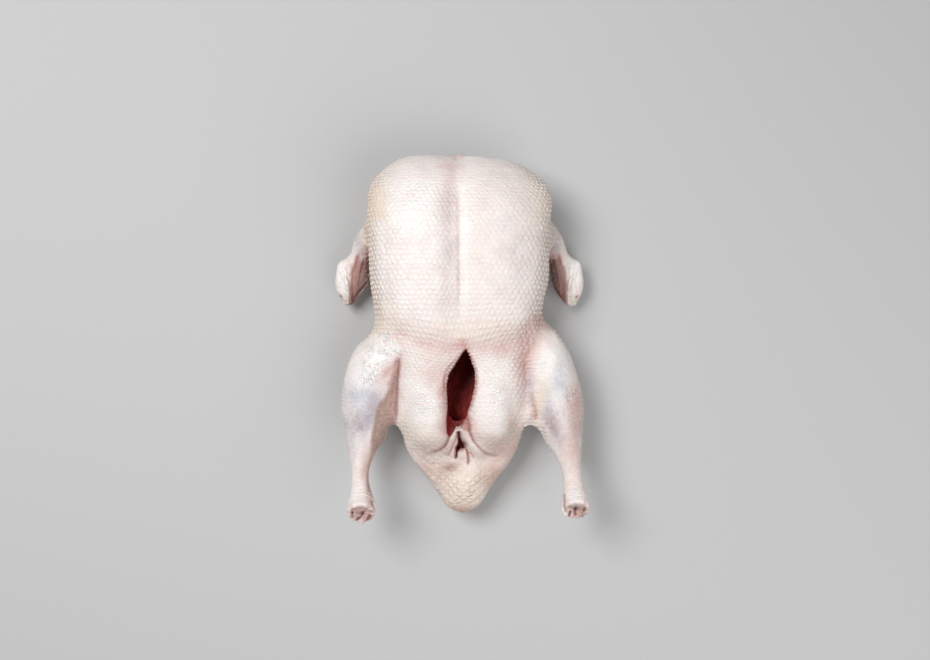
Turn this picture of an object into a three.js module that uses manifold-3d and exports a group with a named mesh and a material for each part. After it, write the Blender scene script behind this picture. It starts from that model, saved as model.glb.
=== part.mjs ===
// A whole raw duck, plucked and drawn, lying on its back with the breast up.
// Millimetres. x runs across the bird, y from the tail towards the neck, and z up from
// the surface that the back rests on; left and right are as seen from above. It is one
// solid: a lofted trunk with the legs and wing stubs joined on, and the open body cavity
// cut out through the slit in the belly.
import * as THREE from "three";
import { mergeVertices } from "three/addons/utils/BufferGeometryUtils.js";
import Module from "manifold-3d";

// Driving sizes
const TRUNK_LENGTH = 330;
const TRUNK_HALF_WIDTH = 85;
const BREAST_HEIGHT = 101;
const NECK_Y = 168;
const MIDDLE_X = -2.5;

// The trunk's shape, each value a share of a driving size. at: along the trunk from the
// neck; wide: of the half width; top, side, base: heights of the crown, the widest
// line and the back, of the breast height; shift: sideways, of the half width;
// crown, keel: how square the upper and lower halves of the section are.
const TRUNK = [
  { at: 0.0, wide: 0.99, top: 0.82, side: 0.48, base: 0.08, shift: 0.0, crown: 2.3, keel: 2.1 },
  { at: 0.14, wide: 1.0, top: 0.96, side: 0.47, base: 0.01, shift: 0.0, crown: 2.6, keel: 2.1 },
  { at: 0.23, wide: 0.98, top: 1.0, side: 0.47, base: -0.012, shift: 0.0, crown: 2.7, keel: 2.1 },
  { at: 0.34, wide: 0.955, top: 0.985, side: 0.46, base: -0.018, shift: 0.0, crown: 2.7, keel: 2.1 },
  { at: 0.415, wide: 0.91, top: 0.95, side: 0.45, base: -0.018, shift: -0.01, crown: 2.6, keel: 2.1 },
  { at: 0.485, wide: 0.9, top: 0.895, side: 0.45, base: -0.018, shift: 0.0, crown: 2.5, keel: 2.1 },
  { at: 0.54, wide: 0.87, top: 0.84, side: 0.44, base: -0.018, shift: 0.01, crown: 2.4, keel: 2.1 },
  { at: 0.62, wide: 0.79, top: 0.76, side: 0.42, base: -0.012, shift: 0.015, crown: 2.4, keel: 2.1 },
  { at: 0.69, wide: 0.735, top: 0.7, side: 0.4, base: 0.0, shift: 0.015, crown: 2.4, keel: 2.1 },
  { at: 0.745, wide: 0.705, top: 0.635, side: 0.37, base: 0.02, shift: 0.025, crown: 2.3, keel: 2.1 },
  { at: 0.79, wide: 0.64, top: 0.555, side: 0.34, base: 0.045, shift: 0.025, crown: 2.3, keel: 2.1 },
  { at: 0.855, wide: 0.525, top: 0.47, side: 0.31, base: 0.09, shift: 0.03, crown: 2.2, keel: 2.1 },
  { at: 0.91, wide: 0.35, top: 0.42, side: 0.29, base: 0.13, shift: 0.03, crown: 2.1, keel: 2.1 },
  { at: 1.0, wide: 0.15, top: 0.355, side: 0.265, base: 0.17, shift: 0.035, crown: 2.0, keel: 2.0 },
];
const NECK_CAP = { length: 50, power: 2.32 };
const TAIL_CAP = { length: 13, power: 2.0 };
const TRUNK_RINGS = 56;
const TRUNK_SIDES = 60;
const CROWN_CROWDING = 0.42;

// Relief of the trunk's upper side. A dent or swell is a smooth bell of this height,
// centred at x, y, with these reaches across and along. bow: how tightly the fold at the
// breast's end curves forward towards the flanks, as the radius of a parabola.
const KEEL = { x: -4.5, from: 154, to: 4, depth: 5, reach: 6, hollow: 4, hollowReach: 20 };
const BREAST_END = { y: -2.5, bow: 600, depth: 3.2, reach: 8 };
const SWELLS = [
  { x: -34, y: -58, high: 6, across: 17, along: 30 },
  { x: 32, y: -54, high: 6, across: 17, along: 30 },
  { x: -34, y: -84, high: 6, across: 16, along: 14 },
  { x: 31, y: -84, high: 6.5, across: 16, along: 14 },
  { x: -19, y: -76, high: 3, across: 7, along: 13 },
  { x: 13, y: -72, high: 3, across: 7, along: 13 },
  { x: -3, y: -94, high: -8, across: 8, along: 15 },
  { x: -21, y: -108.5, high: -5, across: 12, along: 7 },
  { x: 22, y: -108.5, high: -5, across: 12, along: 7 },
  { x: 0, y: -137, high: 3, across: 16, along: 14 },
];

// The slit in the belly, its edges seen from above, and the body cavity behind it.
// lip: how far its edges roll inwards; lipReach: how wide that rolled border is.
const SLIT = {
  front: { x: 3.6, y: -6 },
  back: { x: -5.5, y: -76.5 },
  edges: [
    { y: -18, left: -4.6, right: 9.8 },
    { y: -36, left: -12.6, right: 11.6 },
    { y: -52, left: -13, right: 9.2 },
    { y: -66, left: -12, right: 3.4 },
  ],
  lip: 13,
  lipReach: 12.5,
  floor: 34,
};
const CAVITY = { x: -2.5, y: 13, z: 44, wide: 50, long: 98, tall: 28 };

// Legs and wing stubs: each row is a ring of the limb, its centre and its half width
// and half height. lift turns the end face upwards, in degrees; cup is the depth of the
// hollow in the cut joint, as a share of its radius.
const LEFT_LEG = {
  lift: 32,
  cup: 0.35,
  rings: [
    { x: -48, y: 14, z: 45, wide: 15, tall: 20 },
    { x: -62, y: 0, z: 44, wide: 22, tall: 27 },
    { x: -74, y: -18, z: 42, wide: 26, tall: 29 },
    { x: -83.5, y: -42, z: 41, wide: 26, tall: 27.5 },
    { x: -86, y: -62, z: 42, wide: 25, tall: 25.5 },
    { x: -87, y: -79, z: 45, wide: 22, tall: 21.5 },
    { x: -90.5, y: -95, z: 50, wide: 15.5, tall: 16 },
    { x: -92, y: -112, z: 56, wide: 9.8, tall: 10.5 },
    { x: -92, y: -126, z: 62, wide: 8.6, tall: 9 },
    { x: -91, y: -137, z: 67, wide: 9.8, tall: 9.6 },
    { x: -90, y: -146, z: 72, wide: 12.6, tall: 11.4 },
    { x: -89.5, y: -152.5, z: 75.5, wide: 13.4, tall: 12.2 },
  ],
};
const RIGHT_LEG = {
  lift: 32,
  cup: 0.35,
  rings: [
    { x: 50, y: 18, z: 45, wide: 16, tall: 21 },
    { x: 62, y: 2, z: 44, wide: 23, tall: 27.5 },
    { x: 72.5, y: -19, z: 42, wide: 26.5, tall: 29 },
    { x: 82, y: -44, z: 41, wide: 26.5, tall: 27.5 },
    { x: 86.5, y: -62, z: 42, wide: 25.5, tall: 25.5 },
    { x: 89.5, y: -78, z: 45, wide: 22.5, tall: 22 },
    { x: 94.5, y: -94, z: 50, wide: 16, tall: 16.5 },
    { x: 98, y: -110, z: 56, wide: 10.6, tall: 11 },
    { x: 99.5, y: -121, z: 61, wide: 9.2, tall: 9.4 },
    { x: 100.5, y: -133, z: 66, wide: 10, tall: 9.8 },
    { x: 101, y: -143, z: 71.5, wide: 12.6, tall: 11.4 },
    { x: 101.5, y: -150, z: 75, wide: 13.2, tall: 12.2 },
  ],
};
const WING = {
  lift: 8,
  cup: -0.1,
  rings: [
    { x: 58, y: 126, z: 42, wide: 11, tall: 12 },
    { x: 69, y: 114, z: 38, wide: 11.5, tall: 12.5 },
    { x: 77, y: 101, z: 34, wide: 11, tall: 11.5 },
    { x: 84.5, y: 87.5, z: 29.5, wide: 10.2, tall: 10.5 },
    { x: 90.5, y: 75, z: 26, wide: 10.6, tall: 10.2 },
    { x: 95.5, y: 65, z: 23, wide: 13.6, tall: 10.8 },
    { x: 98.5, y: 56, z: 21, wide: 15.6, tall: 11.5 },
    { x: 100.7, y: 46.5, z: 19.5, wide: 13.5, tall: 11.5 },
    { x: 102, y: 38, z: 18.5, wide: 8.8, tall: 9 },
    { x: 102.4, y: 30.5, z: 18, wide: 4.2, tall: 6 },
  ],
};
const LEG_MESH = { rings: 34, sides: 16 };
const WING_MESH = { rings: 20, sides: 14 };

// Skin stretched between the belly and each leg, up to where the gap beside the tail starts
const LEG_WEBS = [
  { x: -60, y: -56, z: 45, wide: 17, long: 21.5, tall: 15 },
  { x: 60, y: -56, z: 45, wide: 18, long: 21.5, tall: 15 },
];
const NECK_KNOT = { x: -2, y: 160, z: 56, wide: 8, long: 9.5, tall: 7 };

// The hollow edges where legs and wings join the trunk are rounded by this many passes,
// over this many rows of vertices on each side, down to the place where the legs leave it.
const JOIN = { passes: 24, rows: 2, fold: 0.92, from: -102, to: 150 };

const UP = new THREE.Vector3(0, 0, 1);
const wasm = await Module();
wasm.setup();

// A smooth line through rows of numbers: returns a function that gives the row at a place.
function smoothRows(rows, key) {
  const names = Object.keys(rows[0]).filter((name) => name !== key);
  const places = rows.map((row) => row[key]);
  const values = rows.flatMap((row) => names.map((name) => row[name]));
  const line = new THREE.CubicInterpolant(places, values, names.length);
  return (place) => {
    const found = line.evaluate(place);
    return Object.fromEntries(names.map((name, i) => [name, found[i]]));
  };
}

// A closed mesh over a row of rings, with a point at each end.
function closeOver(rings, first, last) {
  const sides = rings[0].length;
  const points = [first, ...rings.flat(), last];
  const faces = [];
  const end = points.length - 1;
  for (let j = 0; j < sides; j += 1) {
    const next = (j + 1) % sides;
    faces.push(0, 1 + next, 1 + j);
    faces.push(end, end - sides + j, end - sides + next);
    for (let i = 0; i < rings.length - 1; i += 1) {
      const near = 1 + i * sides;
      const far = near + sides;
      faces.push(near + j, near + next, far + next, near + j, far + next, far + j);
    }
  }
  const geometry = new THREE.BufferGeometry().setFromPoints(points);
  geometry.setIndex(faces);
  return geometry;
}

// A closed mesh as a solid that can be joined and cut.
function solidOf(geometry) {
  const bare = geometry.clone();
  bare.deleteAttribute("normal");
  bare.deleteAttribute("uv");
  const merged = mergeVertices(bare, 1e-3);
  const solid = new wasm.Manifold(
    new wasm.Mesh({
      numProp: 3,
      vertProperties: new Float32Array(merged.attributes.position.array),
      triVerts: new Uint32Array(merged.index.array),
    }),
  );
  return solid;
}

function geometryOf(solid) {
  const mesh = solid.getMesh();
  const geometry = new THREE.BufferGeometry();
  geometry.setAttribute("position", new THREE.BufferAttribute(mesh.vertProperties, 3));
  geometry.setIndex(new THREE.BufferAttribute(mesh.triVerts, 1));
  geometry.computeVertexNormals();
  return geometry;
}

const bell = (distance) => Math.exp(-distance * distance);

// How far along a capped end the section has grown, from 0 at the tip to 1.
function capShare(distance, { length, power }) {
  const left = 1 - THREE.MathUtils.clamp(distance / length, 0, 1);
  return Math.pow(1 - Math.pow(left, power), 1 / power);
}

// The middle of the slit, which runs a little aslant
function slitMiddle(y) {
  const { front, back } = SLIT;
  return THREE.MathUtils.mapLinear(y, front.y, back.y, front.x, back.x);
}

// Height that the trunk's upper surface gains or loses at a place seen from above.
function relief(x, y) {
  const along =
    THREE.MathUtils.smoothstep(KEEL.from - y, 0, 30) *
    THREE.MathUtils.smoothstep(y - KEEL.to, -6, 24);
  let height = -along * KEEL.depth * bell((x - KEEL.x) / KEEL.reach);
  height -= along * KEEL.hollow * bell((x - KEEL.x) / KEEL.hollowReach);
  const fold = BREAST_END.y + (x - MIDDLE_X) ** 2 / BREAST_END.bow;
  height -= BREAST_END.depth * bell((y - fold) / BREAST_END.reach);
  for (const swell of SWELLS) {
    height += swell.high * bell((x - swell.x) / swell.across) * bell((y - swell.y) / swell.along);
  }
  const open =
    THREE.MathUtils.smoothstep(SLIT.front.y + 4 - y, 0, 28) *
    THREE.MathUtils.smoothstep(y - SLIT.back.y, -12, 10);
  height -= open * SLIT.lip * bell((x - slitMiddle(y)) / SLIT.lipReach);
  return height;
}

// The trunk: sections across the body, crowded towards both ends
function trunk() {
  const shape = smoothRows(TRUNK, "at");
  const rings = [];
  for (let i = 1; i < TRUNK_RINGS; i += 1) {
    const even = i / TRUNK_RINGS;
    const at = even - 0.055 * Math.sin(2 * Math.PI * even) - 0.02 * Math.sin(4 * Math.PI * even);
    const row = shape(at);
    const fromNeck = at * TRUNK_LENGTH;
    const share = Math.min(
      capShare(fromNeck, NECK_CAP),
      capShare(TRUNK_LENGTH - fromNeck, TAIL_CAP),
    );
    const y = NECK_Y - fromNeck;
    const ring = [];
    for (let j = 0; j < TRUNK_SIDES; j += 1) {
      const turn = (2 * Math.PI * j) / TRUNK_SIDES;
      const angle = turn - CROWN_CROWDING * Math.sin(turn);
      const across = Math.sin(angle);
      const up = Math.cos(angle);
      const tall = (up > 0 ? row.top - row.side : row.side - row.base) * BREAST_HEIGHT * share;
      const wide = row.wide * TRUNK_HALF_WIDTH * share;
      const power = up > 0 ? row.crown : row.keel;
      const reach = Math.pow(
        Math.pow(Math.abs(across) / wide, power) + Math.pow(Math.abs(up) / tall, power),
        -1 / power,
      );
      const x = MIDDLE_X + row.shift * TRUNK_HALF_WIDTH - across * reach;
      const topness = THREE.MathUtils.smoothstep(up, 0.05, 0.5) * Math.min(1, share * 1.2);
      const z = row.side * BREAST_HEIGHT + up * reach + topness * relief(x, y);
      ring.push(new THREE.Vector3(x, y, z));
    }
    rings.push(ring);
  }
  const ends = [0, 1].map((at) => {
    const row = shape(at);
    const x = MIDDLE_X + row.shift * TRUNK_HALF_WIDTH;
    return new THREE.Vector3(x, NECK_Y - at * TRUNK_LENGTH, row.side * BREAST_HEIGHT);
  });
  return solidOf(closeOver(rings, ends[0], ends[1]));
}

// A limb: oval rings along a smooth line, ending in a joint cut across, with a hollow.
function limb({ lift, cup, rings: rows }, { rings: count, sides }) {
  const placed = rows.map((row, i) => ({ at: i / (rows.length - 1), ...row }));
  const shape = smoothRows(placed, "at");
  const centre = (at) => {
    const row = shape(at);
    return new THREE.Vector3(row.x, row.y, row.z);
  };
  const rings = [];
  const ringAt = (middle, ahead, wide, tall) => {
    const side = new THREE.Vector3().crossVectors(ahead, UP).normalize();
    const over = new THREE.Vector3().crossVectors(side, ahead).normalize();
    return Array.from({ length: sides }, (_, j) => {
      const turn = (-2 * Math.PI * j) / sides;
      return middle
        .clone()
        .addScaledVector(side, Math.cos(turn) * wide)
        .addScaledVector(over, Math.sin(turn) * tall);
    });
  };
  let ahead = new THREE.Vector3();
  for (let i = 0; i <= count; i += 1) {
    const at = i / count;
    const step = 0.01;
    ahead = centre(Math.min(1, at + step)).sub(centre(Math.max(0, at - step))).normalize();
    const row = shape(at);
    rings.push(ringAt(centre(at), ahead, row.wide, row.tall));
  }
  const axis = new THREE.Vector3().crossVectors(ahead, UP).normalize();
  const face = ahead.clone().applyAxisAngle(axis, THREE.MathUtils.degToRad(lift));
  const row = shape(1);
  const tip = centre(1);
  const rim = [
    { out: 0.25, share: 0.93 },
    { out: 0.36, share: 0.74 },
    { out: 0.3, share: 0.52 },
    { out: 0.3 - cup / 2, share: 0.34 },
  ];
  for (const { out, share } of rim) {
    const middle = tip.clone().addScaledVector(face, out * row.wide);
    rings.push(ringAt(middle, face, row.wide * share, row.tall * share));
  }
  const floor = tip.clone().addScaledVector(face, (0.3 - cup) * row.wide);
  return solidOf(closeOver(rings, centre(0), floor));
}

// Rounds the joins: the vertices of edges that fold inwards are marked, with the rows
// beside them, and each is drawn towards the middle of its neighbours.
function soften(solid) {
  const { vertProperties, triVerts } = solid.getMesh();
  const points = [];
  for (let i = 0; i < vertProperties.length; i += 3) {
    points.push(new THREE.Vector3().fromArray(vertProperties, i));
  }
  const beside = points.map(() => new Set());
  const faceOn = new Map();
  const marked = new Set();
  for (let i = 0; i < triVerts.length; i += 3) {
    for (let k = 0; k < 3; k += 1) {
      const [a, b, c] = [0, 1, 2].map((n) => triVerts[i + ((k + n) % 3)]);
      beside[a].add(b);
      beside[b].add(a);
      faceOn.set(`${a} ${b}`, c);
    }
  }
  const plane = new THREE.Plane();
  const other = new THREE.Plane();
  for (const [edge, c] of faceOn) {
    const [a, b] = edge.split(" ").map(Number);
    const d = faceOn.get(`${b} ${a}`);
    plane.setFromCoplanarPoints(points[a], points[b], points[c]);
    other.setFromCoplanarPoints(points[b], points[a], points[d]);
    const folded = plane.normal.dot(other.normal) < JOIN.fold;
    const inRange = points[a].y > JOIN.from && points[a].y < JOIN.to;
    if (folded && inRange && plane.distanceToPoint(points[d]) > 0) {
      marked.add(a);
      marked.add(b);
    }
  }
  for (let row = 0; row < JOIN.rows; row += 1) {
    for (const a of [...marked]) beside[a].forEach((b) => marked.add(b));
  }
  for (let pass = 0; pass < JOIN.passes; pass += 1) {
    const moved = [...marked].map((a) => {
      const middle = new THREE.Vector3();
      beside[a].forEach((b) => middle.addScaledVector(points[b], 1 / beside[a].size));
      return [a, middle.lerp(points[a], 0.5)];
    });
    for (const [a, point] of moved) points[a].copy(point);
  }
  const geometry = new THREE.BufferGeometry().setFromPoints(points);
  geometry.setIndex([...triVerts]);
  return solidOf(geometry);
}

// An ellipsoid from a three.js sphere
function ellipsoid({ x, y, z, wide, long, tall }, segments) {
  const sphere = new THREE.SphereGeometry(1, segments, segments / 2);
  sphere.scale(wide, long, tall);
  sphere.translate(x, y, z);
  return solidOf(sphere);
}

// The slit: a pointed oval cut straight down into the cavity
function slit() {
  const { front, back, edges } = SLIT;
  const point = (x, y) => new THREE.Vector2(x, y);
  const leftEdge = edges.map(({ y, left }) => point(left, y));
  const rightEdge = edges.map(({ y, right }) => point(right, y)).reverse();
  const outline = new THREE.Shape();
  outline.moveTo(front.x, front.y);
  outline.splineThru([...leftEdge, point(back.x, back.y)]);
  outline.splineThru([...rightEdge, point(front.x, front.y)]);
  const column = new THREE.ExtrudeGeometry(outline, {
    depth: BREAST_HEIGHT - SLIT.floor,
    steps: 1,
    curveSegments: 4,
    bevelEnabled: false,
  });
  column.translate(0, 0, SLIT.floor);
  return solidOf(column);
}

// Everything below the surface that the bird lies on is trimmed off, for a flat rest.
function ground() {
  const slab = new THREE.BoxGeometry(2 * TRUNK_LENGTH, 2 * TRUNK_LENGTH, BREAST_HEIGHT);
  slab.translate(0, 0, -BREAST_HEIGHT / 2);
  return solidOf(slab);
}

// The same wing stub on the other side
function mirrored(limbRows) {
  const rings = limbRows.rings.map((row) => ({ ...row, x: 2 * MIDDLE_X - row.x }));
  return { ...limbRows, rings };
}

function duck() {
  const joined = trunk()
    .add(limb(LEFT_LEG, LEG_MESH))
    .add(limb(RIGHT_LEG, LEG_MESH))
    .add(ellipsoid(LEG_WEBS[0], 20))
    .add(ellipsoid(LEG_WEBS[1], 20))
    .add(limb(WING, WING_MESH))
    .add(limb(mirrored(WING), WING_MESH));
  const body = soften(joined).add(ellipsoid(NECK_KNOT, 14));
  const hollow = ellipsoid(CAVITY, 26).add(slit());
  return body.subtract(hollow).subtract(ground());
}

const skin = new THREE.MeshStandardMaterial({ color: 0xf0dbcf, roughness: 0.45, metalness: 0 });
const shape = geometryOf(duck());
shape.computeBoundingBox();
const centre = shape.boundingBox.getCenter(new THREE.Vector3());
shape.translate(-centre.x, -centre.y, 0);
const bird = new THREE.Mesh(shape, skin);
bird.name = "duck";

const model = new THREE.Group();
model.add(bird);
export default model;
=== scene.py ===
"""A whole raw duck, plucked and drawn, on its back with the breast up."""

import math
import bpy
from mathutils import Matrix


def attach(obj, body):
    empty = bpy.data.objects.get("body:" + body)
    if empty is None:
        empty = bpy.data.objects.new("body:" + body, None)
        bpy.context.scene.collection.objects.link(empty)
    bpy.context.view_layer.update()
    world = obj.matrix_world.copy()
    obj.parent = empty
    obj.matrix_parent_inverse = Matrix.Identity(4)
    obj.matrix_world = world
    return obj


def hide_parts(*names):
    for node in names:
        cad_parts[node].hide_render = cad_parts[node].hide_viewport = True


bl_info = {
    "name": "Raw duck",
    "version": (1, 0, 0),
    "blender": (4, 5, 0),
    "location": "3D View > Sidebar > Duck",
    "description": "Skin, cavity, cut joints and stage for a whole raw duck",
    "category": "Object",
}

import bpy
import numpy as np
from bpy.props import FloatProperty, FloatVectorProperty, PointerProperty
from mathutils import Vector, noise

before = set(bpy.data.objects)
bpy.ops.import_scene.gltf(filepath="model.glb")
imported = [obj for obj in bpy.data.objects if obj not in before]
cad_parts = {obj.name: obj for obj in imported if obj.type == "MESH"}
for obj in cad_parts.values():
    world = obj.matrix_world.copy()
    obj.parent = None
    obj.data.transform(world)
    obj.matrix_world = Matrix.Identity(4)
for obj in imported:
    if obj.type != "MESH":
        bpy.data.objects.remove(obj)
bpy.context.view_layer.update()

MM = 0.001
NODE = "duck"

# The point that the bird is seen from above, and the height of the plan that the marks
# below are drawn on (mm)
EYE = (5.0, 5.9, 1200.0)
PLAN_HEIGHT = 50.0

# The slit in the belly: its left edge from the front to the back, and its right edge
# back to the front (mm)
SLIT_EDGES = [
    [(5.9, -8.8), (-0.6, -20.8), (-10.3, -38.8), (-10.7, -54.8), (-10.2, -67.5), (-5.0, -73.6)],
    [(-5.0, -73.6), (5.0, -69.4), (11.5, -54.8), (13.9, -38.8), (10.6, -20.8), (5.9, -8.8)],
]
# Where the skin closes in on the slit's two ends: the middle, reach (mm) and how far
SLIT_FRONT = ((5.0, -19.5), (16, 8.5), 1.8)
SLIT_BACK = ((-3.0, -81.0), (10, 9), 4.2)
# Only skin above this height is drawn in, and only flesh above this height shows red
SLIT_BOTTOM = 50
RED_BOTTOM = 40
# How far the slit's lips are pink (mm)
LIP_WIDTH = 4.5
CAVITY_MIDDLE = (-0.2, 10.2, 44.0)
CAVITY_REACH = (50.0, 98.0, 28.0)
# The flesh of the cavity ends at this height, under the skin of the belly
FLESH_TOP = 66
# Up to this height the back lies flat and smooth on what it rests on
REST_HEIGHT = 1.5

# Rows of follicles, by their place along the bird (mm): the height of the line that they
# go round, how many go round it, and where they would lie if they weren't drawn together
AXIS_HEIGHT = ([-165, -110, -60, 0, 150], [27, 32, 41, 45, 48])
FOLLICLES_ROUND = ([-165, -110, -60, 0, 60, 150], [4.2, 5, 8.2, 10.8, 12, 12])
ROWS_ALONG = ([-165, -36, 10, 116], [-187, -46, 10, 116])
# How far the follicles spread round the bird, and how evenly
ROUND_SPREAD = 1.16
ROUND_EVENNESS = 12
# The rounded neck end: where it starts, its depth, and its length for a quarter turn
NECK_END = (116, 51, 67)
# Where the rows sag at the breast's end: x, y, reach across and along, and how far
ROW_SAG_PLACE = (0, -12, 42, 24)
ROW_SAG = 12
# How far (mm) the skin has to wander to shift the follicles by one, across and along
WANDER_PER_PLACE = (4.6, 8.4)
# How far each follicle and diamond strays on its own, where 1 is the next one's place
STRAY = 0.44
DIAMOND_LENGTH_SHARE = 0.86

# Soft noise: the size of its waves (mm) and its seed
ROW_WANDER = (19, 1)
ROW_TREMBLE = (6.5, 2)
DIAMOND_WANDER = (18, 3)
DIAMOND_TREMBLE = (6, 7)
FLESH_WAVES = (26, 4)
FLESH_RIPPLES = (9, 5)
FOLLICLE_VARIETY = (5, 6)

# Where the mesh is cut finer (mm): the legs further out than an x and behind a y, the folds
# round the vent by their y and reach across and along, the wing stubs further out than an
# x and by their y and reach along, the skin this near to the slit's edge, relief over a
# height, and flanks with more than a share of follicles
LEGS_FROM = (62, -84)
VENT_PLACE = (-94, 24, 22)
WING_PLACE = (83, 49, 24)
SLIT_RIM = 3
FINE_RELIEF = 0.14
FINEST_RELIEF = 0.15
FINE_FOLLICLES = 0.3
# Creases deeper than this are painted darker as shade, and wholly so when this much
# deeper still (mm)
SHADE_DEPTH = 2
SHADE_RANGE = 3

# The flanks take the breast's marks and not those of the wing stubs beside them, so they
# look for them nearer to the keel: the middle and reach along the bird, how far out they
# start, above which height or within which x they are flank, and the share of x kept
FLANK_ALONG = (62, 42)
FLANK_FROM = 66
FLANK_ABOVE = 41
FLANK_WITHIN = 79
FLANK_SHARE = 0.86

# The gathered skin of the cut leg ends (mm)
PLEATS = 9
PLEAT_HEIGHT = 0.4
RIM_HEIGHT = 1.4
WELL_DEPTH = 0.8
RING_SPACING = 3.6
RING_HEIGHT = 0.65

# What each colour attribute of the skin holds, in its red, green, blue and alpha
CHANNELS = {
    "Tints": ("pink", "lilac_and_shade", "yellow", "raw"),
    "Relief": ("follicles", "wrinkle", "wet", "net"),
    "Shades": ("tan", "specks", "deep", "painted_light"),
    "Marks": ("shade_and_dark_specks", "crackle", "grey", "whole"),
}

# The lights over the bird: where they stand and how wide they are (m)
KEY_LIGHT = ((-0.75, 0.5, 1.6), 0.85)
FILL_LIGHT = ((0.7, -0.6, 1.1), 1.2)
FLOOR_WIDTH = 6
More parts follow.
